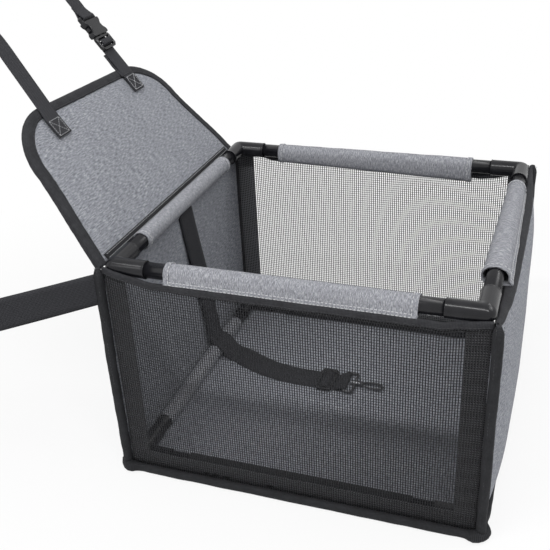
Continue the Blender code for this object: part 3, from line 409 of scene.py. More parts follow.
@dataclass(frozen=True)
class Finish:
    """A material and the slot of the record that it belongs to."""

    name: str
    slot: str

    def build(self) -> bpy.types.Material:
        """Make the material's nodes."""
        raise NotImplementedError

    def made(self) -> bpy.types.Material:
        """The material, built once."""
        return bpy.data.materials.get(self.name) or self.build()


@dataclass(frozen=True)
class HeatherCloth(Finish):
    """Grey woven cloth with light and dark flecks and faint slubs along its weft.

    The stretches of the slubs and the flecks are per metre, across and along the cloth. They
    change places on a sleeve, where the cloth's weft runs round the tube.
    """

    dark: Colour = (0.120, 0.125, 0.146)
    middle: Colour = (0.268, 0.278, 0.310)
    light: Colour = (0.50, 0.515, 0.54)
    slub_stretch: Pair = (130, 950)
    fleck_stretch: Pair = (450, 1500)
    thread: float = 0.0010

    def build(self) -> bpy.types.Material:
        """Make the cloth's nodes."""
        board = Board(self.name)
        slubs = board.wander(board.weave_place((*self.slub_stretch, 1)), 1.0, 2.0, 0.6)
        flecks = board.wander(board.weave_place((*self.fleck_stretch, 1)), 1.0, 3.0, 0.8)
        cloud = board.wander(board.weave_place(), 30.0, 3.0, 0.6)
        tone = slubs * 0.5 + flecks * 0.5
        pale = tone.between(0.50, 0.60)
        dark = 1 - tone.between(0.40, 0.50)
        colour = board.blend(pale, self.middle, self.light)
        colour = board.blend(dark * 0.9, colour, self.dark)
        colour = board.blend(cloud.between(0.30, 0.75) * 0.15, colour, self.dark)
        across = (board.axis(board.weave_place(), 0) * (math.pi / self.thread)).sine().size()
        along = (board.axis(board.weave_place(), 1) * (math.pi / self.thread)).sine().size()
        height = across * along * 0.5 + flecks * 0.7
        return board.done(
            Base_Color=colour,
            Roughness=flecks * 0.10 + 0.82,
            Normal=board.relief(height, 0.00030, 0.4),
            Specular_IOR_Level=0.15,
        )


@dataclass(frozen=True)
class Webbing(Finish):
    """Charcoal webbing with ribs across and a firm selvedge."""

    dark: Colour = (0.010, 0.010, 0.012)
    light: Colour = (0.052, 0.053, 0.060)
    rib: float = 0.0014
    column: float = 0.0020

    def build(self) -> bpy.types.Material:
        """Make the webbing's nodes."""
        board = Board(self.name)
        place = board.weave_place()
        yarn = board.axis(place, 0) * (TURN / self.column)
        shift = yarn.sine() * 0.7
        ribs = (board.axis(place, 1) * (TURN / self.rib) + shift).sine() * 0.5 + 0.5
        columns = yarn.sine() * 0.5 + 0.5
        fuzz = board.wander(board.weave_place((900, 300, 1)), 1.0, 3.0, 0.6)
        tone = ribs * 0.45 + columns * 0.20 + fuzz * 0.5
        colour = board.blend(tone.between(0.25, 0.95), self.dark, self.light)
        return board.done(
            Base_Color=colour,
            Roughness=fuzz * 0.2 + 0.62,
            Normal=board.relief(ribs * 0.6 + columns * 0.3 + fuzz * 0.3, 0.0004, 0.8),
            Specular_IOR_Level=0.25,
        )


@dataclass(frozen=True)
class EdgeTape(Finish):
    """Woven binding tape with fine ribs and worn, paler ridges."""

    dark: Colour = (0.012, 0.012, 0.014)
    light: Colour = (0.052, 0.053, 0.058)
    rib: float = 0.0014

    def build(self) -> bpy.types.Material:
        """Make the tape's nodes."""
        board = Board(self.name)
        place = board.weave_place()
        ribs = (board.axis(place, 1) * (TURN / self.rib)).sine() * 0.5 + 0.5
        fuzz = board.wander(board.weave_place((700, 250, 1)), 1.0, 3.0, 0.6)
        cloud = board.wander(board.weave_place(), 60.0, 2.0, 0.5)
        tone = ribs * 0.30 + fuzz * 0.55 + cloud * 0.35
        colour = board.blend(tone.between(0.30, 0.95), self.dark, self.light)
        return board.done(
            Base_Color=colour,
            Roughness=fuzz * 0.15 + 0.72,
            Normal=board.relief(ribs * 0.5 + fuzz * 0.4, 0.0003, 0.7),
            Specular_IOR_Level=0.2,
        )


@dataclass(frozen=True)
class NetYarn(Finish):
    """Coated yarn of the net."""

    dark: Colour = (0.008, 0.008, 0.009)
    light: Colour = (0.052, 0.053, 0.058)

    def build(self) -> bpy.types.Material:
        """Make the yarn's nodes."""
        board = Board(self.name)
        fuzz = board.wander(board.object_place(), 900.0, 2.0, 0.5)
        return board.done(
            Base_Color=board.blend(fuzz.between(0.3, 0.8), self.dark, self.light),
            Roughness=fuzz * 0.2 + 0.6,
            Normal=board.relief(fuzz, 0.0001, 0.5),
            Specular_IOR_Level=0.2,
        )


@dataclass(frozen=True)
class DenseMesh(Finish):
    """Close black mesh tape with rows of tiny eyelets."""

    dark: Colour = (0.004, 0.004, 0.005)
    light: Colour = (0.150, 0.152, 0.160)
    pitch: float = 0.0028

    def build(self) -> bpy.types.Material:
        """Make the mesh tape's nodes."""
        board = Board(self.name)
        place = board.weave_place()
        across = (board.axis(place, 0) * (math.pi / self.pitch)).sine().size()
        along = (board.axis(place, 1) * (math.pi / self.pitch)).sine().size()
        eyelets = (across * along).between(0.35, 0.75)
        fuzz = board.wander(board.weave_place(), 800.0, 2.0, 0.5)
        tone = (1 - eyelets) * 0.7 + fuzz * 0.6 - 0.15
        return board.done(
            Base_Color=board.blend(tone.between(0.2, 0.95), self.dark, self.light),
            Roughness=fuzz * 0.2 + 0.66,
            Normal=board.relief((1 - eyelets) * 0.8 + fuzz * 0.2, 0.0004, 0.8),
            Specular_IOR_Level=0.2,
        )


@dataclass(frozen=True)
class SatinPlastic(Finish):
    """Moulded plastic with fine mould grain, rubbed smoother in places."""

    colour: Colour = (0.009, 0.009, 0.011)
    worn: Colour = (0.020, 0.020, 0.023)
    rough: float = 0.235
    grain: float = 900.0

    def build(self) -> bpy.types.Material:
        """Make the plastic's nodes."""
        board = Board(self.name)
        grain = board.wander(board.object_place(), self.grain, 2.0, 0.5)
        rub = board.wander(board.object_place(), 45.0, 4.0, 0.65)
        return board.done(
            Base_Color=board.blend(rub.between(0.45, 0.80) * 0.6, self.colour, self.worn),
            Roughness=rub * 0.14 + (self.rough - 0.07),
            Normal=board.relief(grain, 0.00004, 0.2),
            Specular_IOR_Level=0.30,
        )


@dataclass(frozen=True)
class PlatedMetal(Finish):
    """Dark nickel plating with fine scratches."""

    colour: Colour = (0.15, 0.152, 0.16)
    dull: Colour = (0.06, 0.061, 0.065)

    def build(self) -> bpy.types.Material:
        """Make the plating's nodes."""
        board = Board(self.name)
        scratches = board.wander(board.object_place((300, 2600, 2600)), 1.0, 2.0, 0.6)
        stain = board.wander(board.object_place(), 160.0, 3.0, 0.6)
        return board.done(
            Base_Color=board.blend(stain.between(0.35, 0.75), self.colour, self.dull),
            Metallic=0.9,
            Roughness=stain * 0.22 + 0.26,
            Normal=board.relief(scratches, 0.00005, 0.3),
        )


@dataclass(frozen=True)
class SewingThread(Finish):
    """Twisted sewing thread."""

    colour: Colour = (0.52, 0.525, 0.54)
    shade: Colour = (0.30, 0.305, 0.32)

    def build(self) -> bpy.types.Material:
        """Make the thread's nodes."""
        board = Board(self.name)
        twist = board.wander(board.object_place(), 2600.0, 1.0, 0.5)
        return board.done(
            Base_Color=board.blend(twist.between(0.35, 0.7), self.shade, self.colour),
            Roughness=0.6,
            Normal=board.relief(twist, 0.0001, 0.5),
        )


@dataclass(frozen=True)
class BoardCloth(Finish):
    """Coarse black cloth glued over the base board."""

    colour: Colour = (0.030, 0.030, 0.034)
    light: Colour = (0.080, 0.081, 0.086)

    def build(self) -> bpy.types.Material:
        """Make the cloth's nodes."""
        board = Board(self.name)
        fibre = board.wander(board.object_place(), 700.0, 3.0, 0.6)
        return board.done(
            Base_Color=board.blend(fibre.between(0.35, 0.8), self.colour, self.light),
            Roughness=0.88,
            Normal=board.relief(fibre, 0.0003, 0.7),
        )


CLOTH = HeatherCloth("heather_cloth", "grey_cloth")
SLEEVE_CLOTH = HeatherCloth(
    "sleeve_cloth", "grey_cloth", (0.158, 0.161, 0.180), (0.288, 0.294, 0.321), (0.48, 0.488, 0.515),
    slub_stretch=(1000, 190), fleck_stretch=(1500, 450),
)
# The lining is the walls' grey cloth painted lighter: painted light against the shade inside the box
PAINTED_LIGHT_LINING = HeatherCloth(
    "floor_lining_cloth", "grey_cloth", (0.15, 0.156, 0.18), (0.31, 0.322, 0.362), (0.50, 0.515, 0.55)
)
TAPE = EdgeTape("edge_tape", "black_tape")
SEAM_TAPE = EdgeTape("seam_tape", "black_tape", (0.008, 0.008, 0.009), (0.036, 0.037, 0.041))
WEBBING = Webbing("webbing", "black_webbing")
NET = NetYarn("net_yarn", "black_net")
MESH_TAPE = DenseMesh("mesh_tape", "black_tape")
TUBE = SatinPlastic("tube_plastic_satin", "tube_plastic")
ELBOW = SatinPlastic(
    "elbow_plastic_satin", "tube_plastic", (0.008, 0.008, 0.010), (0.018, 0.018, 0.021), 0.225
)
BUCKLE = SatinPlastic(
    "buckle_plastic_satin", "buckle_plastic", (0.012, 0.012, 0.014), (0.026, 0.027, 0.030), 0.21
)
METAL = PlatedMetal("plated_metal", "hook_metal")
PALE_THREAD = SewingThread("pale_thread", "black_tape")
GREY_THREAD = SewingThread("grey_thread", "grey_cloth", (0.78, 0.785, 0.80), (0.55, 0.555, 0.57))
DARK_THREAD = SewingThread("dark_thread", "black_tape", (0.075, 0.075, 0.080), (0.030, 0.030, 0.034))
BOARD = BoardCloth("board_cloth", "board")


# Mesh tools


def mapped_grid(
    columns: int,
    rows: int,
    spot: Callable[[float, float], Vector],
    weave: Callable[[float, float], Pair] | None = None,
    weld: bool = False,
    caps: bool = False,
    bm: bmesh.types.BMesh | None = None,
) -> bmesh.types.BMesh:
    """Grid laid out in space by a function of its two shares.

    Args:
        columns: faces along the first share.
        rows: faces along the second share.
        spot: place of a point, from its two shares.
        weave: place on the cloth in metres, from the same shares.
        weld: join edges that meet, as on a tube.
        caps: close the ends that stay open.
        bm: a mesh to add to.

    Returns:
        The mesh.
    """
    bm = bm or bmesh.new()
    layer = bm.loops.layers.uv.get(WEAVE_MAP) or bm.loops.layers.uv.new(WEAVE_MAP)
    new = bmesh.ops.create_grid(bm, x_segments=columns, y_segments=rows, size=0.5)["verts"]
    faces = {face for vert in new for face in vert.link_faces}
    for face in faces:
        face.smooth = True
        for corner in face.loops:
            u, v = corner.vert.co.x + 0.5, corner.vert.co.y + 0.5
            corner[layer].uv = weave(u, v) if weave else (u, v)
    for vert in new:
        vert.co = spot(vert.co.x + 0.5, vert.co.y + 0.5)
    if weld:
        bmesh.ops.remove_doubles(bm, verts=new, dist=1e-6)
    if caps:
        edges = [edge for edge in bm.edges if edge.is_boundary]
        bmesh.ops.holes_fill(bm, edges=edges, sides=0)
    return bm


def tube_along(
    route: Trail,
    radius: Callable[[float, float], float],
    side: Vector,
    sides: int,
    steps: int,
    caps: bool = True,
) -> bmesh.types.BMesh:
    """Round or shaped tube along a trail.

    Args:
        route: the tube's middle line.
        radius: radius, from the share of the length and the angle.
        side: a direction that stays to one side of the whole route.
        sides: faces round.
        steps: faces along.
        caps: close the ends.

    Returns:
        The mesh.
    """

    def spot(u: float, v: float) -> Vector:
        ahead = route.heading(u)
        across = (side - ahead * side.dot(ahead)).normalized()
        over = ahead.cross(across)
        angle = TURN * v
        return route.at(u) + (across * math.cos(angle) + over * math.sin(angle)) * radius(u, angle)

    around = TURN * radius(0.5, 0.0)
    return mapped_grid(
        steps, sides, spot, lambda u, v: (around * v, route.length * u), weld=True, caps=caps
    )


def ribbon_along(
    route: Trail, width: float, side: Vector, steps: int, curl: float = 0.0
) -> bmesh.types.BMesh:
    """Flat band along a trail, open, for a Solidify modifier.

    Args:
        route: the band's middle line.
        width: its width.
        side: the direction of its width.
        steps: faces along.
        curl: how far its edges bend out of its plane.

    Returns:
        The mesh.
    """

    def spot(u: float, v: float) -> Vector:
        normal = side.cross(route.heading(u)).normalized()
        share = 2 * v - 1
        return route.at(u) + side * (width / 2 * share) + normal * (curl * share * share)

    return mapped_grid(steps, WEBBING_COLUMNS, spot, lambda u, v: (width * v, route.length * u))


@dataclass(frozen=True)
class Stitch:
    """Length of a stitch, the gap to the next one and half its thread's thickness."""

    length: float = 0.0028
    gap: float = 0.0014
    radius: float = 0.00036


HEM_STITCH = Stitch()
SEAM_STITCH = Stitch(radius=0.0002)
FLAP_STITCH = Stitch(radius=0.00024)
BOX_STITCH = Stitch(0.0021, 0.0005, 0.00042)
LOOP_STITCH = Stitch(0.0021, 0.0005, 0.0004)


def stitch_row(
    bm: bmesh.types.BMesh, path: Trail, normal: Callable[[float], Vector] | Vector, stitch: Stitch
) -> None:
    """Row of sewn stitches, each a short thread that is thickest in its middle.

    Args:
        bm: the mesh to add to.
        path: the seam.
        normal: the way out of the cloth, or a function of the share that gives it.
        stitch: the sizes of a stitch.
    """
    length, radius = stitch.length, stitch.radius
    count = max(1, int(path.length / (length + stitch.gap)))
    for index in range(count):
        share = (index + 0.5) / count
        ahead = path.heading(share)
        out = (normal(share) if callable(normal) else normal).normalized()
        over = ahead.cross(out).normalized()
        frame = Matrix((over, out, ahead)).transposed().to_4x4()
        frame.translation = path.at(share) + out * radius * 0.5
        end = radius * 0.7
        made = bmesh.ops.create_cone(
            bm, cap_ends=True, segments=6, radius1=end, radius2=end, depth=length, matrix=frame
        )["verts"]
        edges = {edge for vert in made for edge in vert.link_edges}
        edges = [edge for edge in edges if abs((edge.verts[0].co - edge.verts[1].co).dot(ahead)) > length / 2]
        middle = bmesh.ops.subdivide_edges(bm, edges=edges, cuts=1)["geom_inner"]
        for part in middle:
            if isinstance(part, bmesh.types.BMVert):
                part.co += (part.co - path.at(share)).normalized() * radius * 0.45


@dataclass
class Assembly:
    """What the sub-assemblies share: handing a finished piece over to its body."""

    def keep(
        self,
        name: str,
        bm: bmesh.types.BMesh,
        finish: Finish,
        body: Body,
        stands_for: Sequence[str] = (),
        thickness: float = 0.0,
        sinks: bool = False,
        sharp: float = 0.0,
    ) -> bpy.types.Object:
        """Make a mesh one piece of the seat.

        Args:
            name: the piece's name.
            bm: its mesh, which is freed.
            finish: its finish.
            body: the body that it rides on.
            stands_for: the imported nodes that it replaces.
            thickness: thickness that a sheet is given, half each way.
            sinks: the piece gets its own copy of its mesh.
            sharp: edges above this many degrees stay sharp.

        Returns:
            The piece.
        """
        bmesh.ops.recalc_face_normals(bm, faces=bm.faces)
        mesh = bpy.data.meshes.new(name)
        bm.to_mesh(mesh)
        bm.free()
        thing = bpy.data.objects.new(name, mesh)
        bpy.context.scene.collection.objects.link(thing)
        mesh.materials.append(finish.made())
        mesh.shade_smooth()
        if sharp:
            mesh.set_sharp_from_angle(angle=math.radians(sharp))
        if thickness:
            sheet = thing.modifiers.new("thickness", "SOLIDIFY")
            sheet.thickness = thickness
            sheet.offset = 0.0
            sheet.use_even_offset = True
        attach(thing, body.value)
        if stands_for:
            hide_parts(*stands_for)
        if sinks:
            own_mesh(thing)
        LOG.info("%s: %d faces", name, len(mesh.polygons))
        return thing


# Tube frames


@dataclass
class TubeRing(Assembly):
    """Ring of four plastic tubes with corner elbows."""

    prefix: str = "rim"
    height: float = RIM_HEIGHT
    body: Body = Body.RIM
    socket_depth: float = 0.022
    bore: float = 0.0093
    rounding: float = 0.010
    wall: float = 0.0015
    lip: float = 0.0006
    seat_round: float = 0.0004
    sides: int = 40

    def build(self) -> None:
        """Build the four tubes and the four elbows."""
        for side in Side:
            self.tube(side)
        for quarter, (label, (sign_x, sign_y)) in enumerate(CORNERS.items()):
            self.elbow(label, sign_x, sign_y, quarter)

    def tube(self, side: Side) -> None:
        """Build a straight hollow tube.

        Args:
            side: the side that it runs along.
        """
        half = side.half - ELBOW_LEG + self.socket_depth
        route = Trail([side.spot(-half, 0, self.height), side.spot(half, 0, self.height)])
        bm = tube_along(route, lambda u, a: TUBE_RADIUS, UP, self.sides, 4, caps=False)
        name = f"{self.prefix}_tube_{side.label}"
        thing = self.keep(f"{name}_round", bm, TUBE, self.body, [name])
        wall = thing.modifiers.new("wall", "SOLIDIFY")
        wall.thickness = self.wall
        wall.offset = -1.0

    def elbow(self, label: str, sign_x: int, sign_y: int, quarter: int) -> None:
        """Build a corner elbow: two sockets with lips, joined by a rounded bend.

        Args:
            label: the corner's name.
            sign_x: the corner's side across.
            sign_y: the corner's side along.
            quarter: quarter turns from the front left corner.
        """
        seat = ELBOW_LEG - self.socket_depth
        outer, lip = ELBOW_RADIUS, self.lip
        skin = outer - lip * 0.15
        straight = [
            (seat, self.bore - self.seat_round),
            (seat, self.bore),
            (ELBOW_LEG - lip, self.bore),
            (ELBOW_LEG, self.bore + lip * 0.4),
            (ELBOW_LEG, outer - lip * 0.2),
            (ELBOW_LEG - lip * 0.4, outer + lip * 0.25),
            (ELBOW_LEG - lip * 2.0, outer + lip * 0.25),
            (ELBOW_LEG - lip * 3.0, skin),
            (ELBOW_LEG - lip * 5.0, skin),
            (ELBOW_LEG * 0.6, skin),
        ]
        bend = 12
        rows = len(straight) * 2 + bend
        frame = Matrix.Rotation(quarter * math.pi / 2, 4, "Z")
        frame.translation = (sign_x * HALF_WIDTH, sign_y * HALF_LENGTH, self.height)

        def spot(u: float, v: float) -> Vector:
            row, angle = round(u * rows), TURN * v
            cosine, sine = math.cos(angle), math.sin(angle)
            if row < len(straight):
                along, radius = straight[row]
                local = Vector((along, -radius * cosine, radius * sine))
            elif row > len(straight) + bend:
                along, radius = straight[rows - row]
                local = Vector((-radius * cosine, along, radius * sine))
            else:
                swing = math.pi / 2 * (row - len(straight)) / bend
                out = skin * cosine
                fillet = max(self.rounding * (out + skin) / (2 * skin), self.seat_round)
                along, over = (fillet - out - fillet * turn for turn in (math.sin(swing), math.cos(swing)))
                local = Vector((along, over, skin * sine))
            return frame @ local

        bm = mapped_grid(rows, self.sides, spot, weld=True, caps=True)
        name = f"{self.prefix}_elbow_{label}"
        self.keep(f"{name}_moulded", bm, ELBOW, self.body, [name], sharp=50)


# Cloth sleeves round the tubes


@dataclass
class SleeveSet(Assembly):
    """Sewn cloth tunnels round the tubes of one ring, each with a stitched foot."""

    prefix: str = "rim"
    height: float = RIM_HEIGHT
    body: Body = Body.RIM
    radius: float = 0.00995
    thickness: float = 0.0010
    foot_out: float = 0.0116
    foot_drop: float = 0.0092
    wrinkle: float = 0.0007
    hem: float = 0.0065
    cut: float = 0.012
    # How the loose sleeves of the rim stand off their tubes
    front_flare: float = 0.0064
    back_tuck: float = 0.0044
    side_flare: float = 0.0008
    front_slack: float = 0.0038
    front_sag: float = 0.0015
    right_slack: float = 0.0003
    right_sag: float = 0.0078
    right_sag_slope: float = 0.0255
    back_snug: float = 0.0002
    # Seams, hems and their threads
    seam_layer: float = 0.0014
    foot_sag: float = 0.0004
    ragged_end: float = 0.0010
    hem_lift: float = 0.00075
    hem_crown: float = 0.0003
    hem_over: float = 0.0004
    row_lift: float = 0.0007
    loop_lift: float = 0.0016
    loop_inset: float = 0.0012
    hem_thickness: float = 0.0006
    rows_share: Pair = (0.935, 0.985)
    columns: int = 110
    rows: int = 40

    def build(self) -> None:
        """Build the four sleeves."""
        for side in Side:
            self.sleeve(side)

    def section(self, flare: float, wide: float = 0.0, sag: float = 0.0) -> Trail:
        """Section of a sleeve, out and up from the tube's axis.

        Args:
            flare: how far its foot stands out.
            wide: how much wider than its tube it is on each side.
            sag: how far it hangs below its tube.

        Returns:
            The section, from the seam's inner layer round the tube to its foot.
        """
        points = [(self.foot_out - self.seam_layer + flare, -self.foot_drop - 0.0001)]
        for step in range(23):
            turn = 60 + 300 * step / 22
            hang = sag * ease(turn, 60, 105) * (1 - ease(turn, 140, 215))
            angle = math.radians(-turn)
            points.append(((self.radius + wide) * math.cos(angle), self.radius * math.sin(angle) - hang))
        points += [
            (self.radius + 0.0003 + flare * 0.45, -self.foot_drop * 0.4),
            (self.foot_out - 0.0004 + flare * 0.9, -self.foot_drop * 0.85),
            (self.foot_out + flare, -self.foot_drop),
        ]
        return Trail(points)

    def flare(self, side: Side, along: float) -> float:
        """How far a sleeve's foot stands out at a place, more at its open ends."""
        end = side.half - SLEEVE_SETBACK
        if self.body is not Body.RIM:
            return 0.0
        if side is Side.FRONT:
            return self.front_flare * (end - along) / (2 * end)
        if side is Side.BACK:
            return -self.back_tuck
        return self.side_flare * ease(abs(along), end - 0.03, end)

    def slack(self, side: Side, along: float) -> tuple[float, float]:
        """How much wider than its tube a sleeve is at a place, and how far it hangs there."""
        end = side.half - SLEEVE_SETBACK
        if self.body is Body.RIM and side is Side.FRONT:
            return self.front_slack * (end - along) / (2 * end), self.front_sag
        if self.body is Body.RIM and side is Side.RIGHT:
            return self.right_slack, self.right_sag - self.right_sag_slope * along * side.across.y
        return (-self.back_snug if side is Side.BACK else 0.0), 0.0

    def cloth_spot(self, side: Side, along: float, share: float, lift: float = 0.0) -> Vector:
        """Place on a sleeve.

        Args:
            side: the sleeve's side.
            along: place along the side.
            share: share of the section, from its seam round to its foot.
            lift: height above the cloth.

        Returns:
            The place.
        """
        point = self.section(self.flare(side, along), *self.slack(side, along)).at(share)
        seed = 1.0 + list(Side).index(side) + (10 if self.body is Body.BASE else 0)
        skirt = ease(share, 0.55, 0.95)
        folds = ripple((along * 42, share * 2.2), seed) * (0.35 + 0.65 * skirt)
        folds += 0.45 * ripple((along * 120, share * 3.0), seed + 5) * (0.3 + 0.7 * skirt)
        wrinkle = self.wrinkle
        if self.body is Body.RIM and side is Side.BACK and share > 0.5:
            # The flap's foot presses this part flat
            wrinkle, lift = wrinkle * 0.2, lift * 0.4
        grow = wrinkle * max(0.0, folds + 0.25) + lift
        foot = ease(share, 0.86, 1.0)
        away = Vector((point.x, point.y)).normalized().lerp(Vector((1.0, 0.25)), foot).normalized()
        sag = -self.foot_sag * (1 + ripple((along * 25, 0), seed + 2)) * foot
        return side.spot(along, point.x + away.x * grow, self.height + point.y + away.y * grow + sag)

    def sleeve(self, side: Side) -> None:
        """Build one sleeve with its hems and its stitches.

        Args:
            side: the side that it is on.
        """
        end = side.half - SLEEVE_SETBACK
        cut = self.cut if self.body is Body.RIM and side is Side.FRONT else 0.0
        dark = self.body is Body.BASE and side in (Side.LEFT, Side.RIGHT)
        name = f"{self.prefix}_sleeve_{side.label}"
        girth = self.section(0).length

        def spot(u: float, v: float) -> Vector:
            uneven = self.ragged_end * ripple((v * 3, u * 2), 3.1) * (1 if u in (0.0, 1.0) else 0)
            return self.cloth_spot(side, (2 * u - 1) * end + uneven + cut * (1 - u), v)

        bm = mapped_grid(self.columns, self.rows, spot, lambda u, v: (2 * end * u, girth * v))
        finish = SEAM_TAPE if dark else SLEEVE_CLOTH
        self.keep(f"{name}_cloth", bm, finish, self.body, [name], self.thickness)
        if self.body is Body.RIM:
            self.hems_and_stitches(side, name, cut)

    def hems_and_stitches(self, side: Side, name: str, cut: float) -> None:
        """Build a rim sleeve's turned hems and its rows of stitches.

        Args:
            side: the side that it is on.
            name: the sleeve's name.
            cut: how much shorter its left end is.
        """
        end = side.half - SLEEVE_SETBACK
        girth = self.section(0).length
        for sign, label in ((-1, "a"), (1, "b")):
            def hem_spot(u: float, v: float, sign: int = sign) -> Vector:
                rim = self.hem_crown * math.sin(math.pi * u)
                along = sign * (end - self.hem * u + self.hem_over) + (cut if sign < 0 else 0.0)
                return self.cloth_spot(side, along, 0.04 + 0.95 * v, self.hem_lift + rim)

            bm = mapped_grid(6, self.rows, hem_spot, lambda u, v: (self.hem * u, girth * v))
            self.keep(f"{name}_hem_{label}", bm, SLEEVE_CLOTH, self.body, (), self.hem_thickness)
        threads = bmesh.new()
        for share in self.rows_share:
            line = []
            for step in range(121):
                along = (2 * step / 120 - 1) * (end - 0.001) + cut * (1 - step / 120)
                line.append(self.cloth_spot(side, along, share, self.row_lift))
            stitch_row(threads, Trail(line), side.outward, HEM_STITCH)
        for sign in (-1, 1):
            along = sign * (end - self.hem + self.loop_inset) + (cut if sign < 0 else 0.0)
            loop = [self.cloth_spot(side, along, 0.08 + 0.88 * i / 40, self.loop_lift) for i in range(41)]
            middle = side.spot(sign * end, 0, self.height)
            path = Trail(loop)

            def away(share: float, path: Trail = path, middle: Vector = middle) -> Vector:
                return path.at(share) - middle

            stitch_row(threads, path, away, HEM_STITCH)
        self.keep(f"{name}_stitches", threads, GREY_THREAD, self.body, sharp=40)


# Walls, nets and their bindings


@dataclass
class WallShape:
    """Where the walls' cloth lies: their bulge and their wavy top edges."""

    front_bulge: float = 0.0165
    front_foot: float = 0.038
    back_bulge: float = 0.003
    tip_reach: float = 0.034
    back_drop: float = 0.0006
    back_tip: float = 0.0050
    back_tip_reach: float = 0.009
    top_wave: float = 0.0022
    top_ripple: float = 0.0005
    lean: float = 0.0022
    front_fold: float = 0.0012
    back_fold: float = 0.0008
    net_fold: float = 0.0007

    def top(self, side: Side, along: float) -> float:
        """Height of a wall's top edge at a place along it."""
        limit = side.half + WALL_SPAN_EXTRA
        near = limit - abs(along)
        if side is Side.BACK:
            return WALL_TOP - self.back_drop + self.back_tip * math.exp(-((near / self.back_tip_reach) ** 2))
        corner = side.spot(along, 0, 0)
        tip = CORNER_TIPS[corner.x > 0, corner.y > 0]
        gap = max(0.0, near)
        rise = tip * math.exp(-((gap / self.tip_reach) ** 1.6))
        free = ease(abs(along), side.half - SLEEVE_SETBACK - 0.02, side.half - SLEEVE_SETBACK + 0.015)
        seed = 21.0 + list(Side).index(side)
        wave = self.top_wave * ripple((along * 48, 0.3), seed) * free
        under = self.top_ripple * ripple((along * 30, 0.7), seed + 3) * (1 - free)
        return WALL_TOP + rise + wave + under

    def out(self, side: Side, along: float, share: float) -> float:
        """How far a wall's cloth stands out at a share of its height."""
        limit = side.half + WALL_SPAN_EXTRA
        across = along / limit
        seed = 31.0 + list(Side).index(side)
        body = math.sin(math.pi * share) ** 2 * (1 - abs(across) ** 3)
        free = ease(abs(along), side.half - SLEEVE_SETBACK - 0.02, side.half - SLEEVE_SETBACK + 0.02)
        lean = self.lean * free * ripple((along * 40, 0.9), seed) * ease(share, 0.85, 1.0)
        if side is Side.FRONT:
            raised = max(0.0, (share - self.front_foot) / (1 - self.front_foot))
            pillow = math.sqrt(max(0.0, 1 - abs(2 * raised - 1) ** 6)) * (1 - across**4)
            folds = self.front_fold * ripple((along * 14 + share * 3, share * 2.2), seed)
            return self.front_bulge * pillow + folds * math.sin(math.pi * share) + lean * 0.5
        if side is Side.BACK:
            folds = self.back_fold * ripple((along * 16, share * 2.5), seed)
            return self.back_bulge * body + folds * math.sin(math.pi * share) + abs(lean) * 0.3
        return self.net_fold * ripple((along * 9, share * 2), seed) * math.sin(math.pi * share) + lean


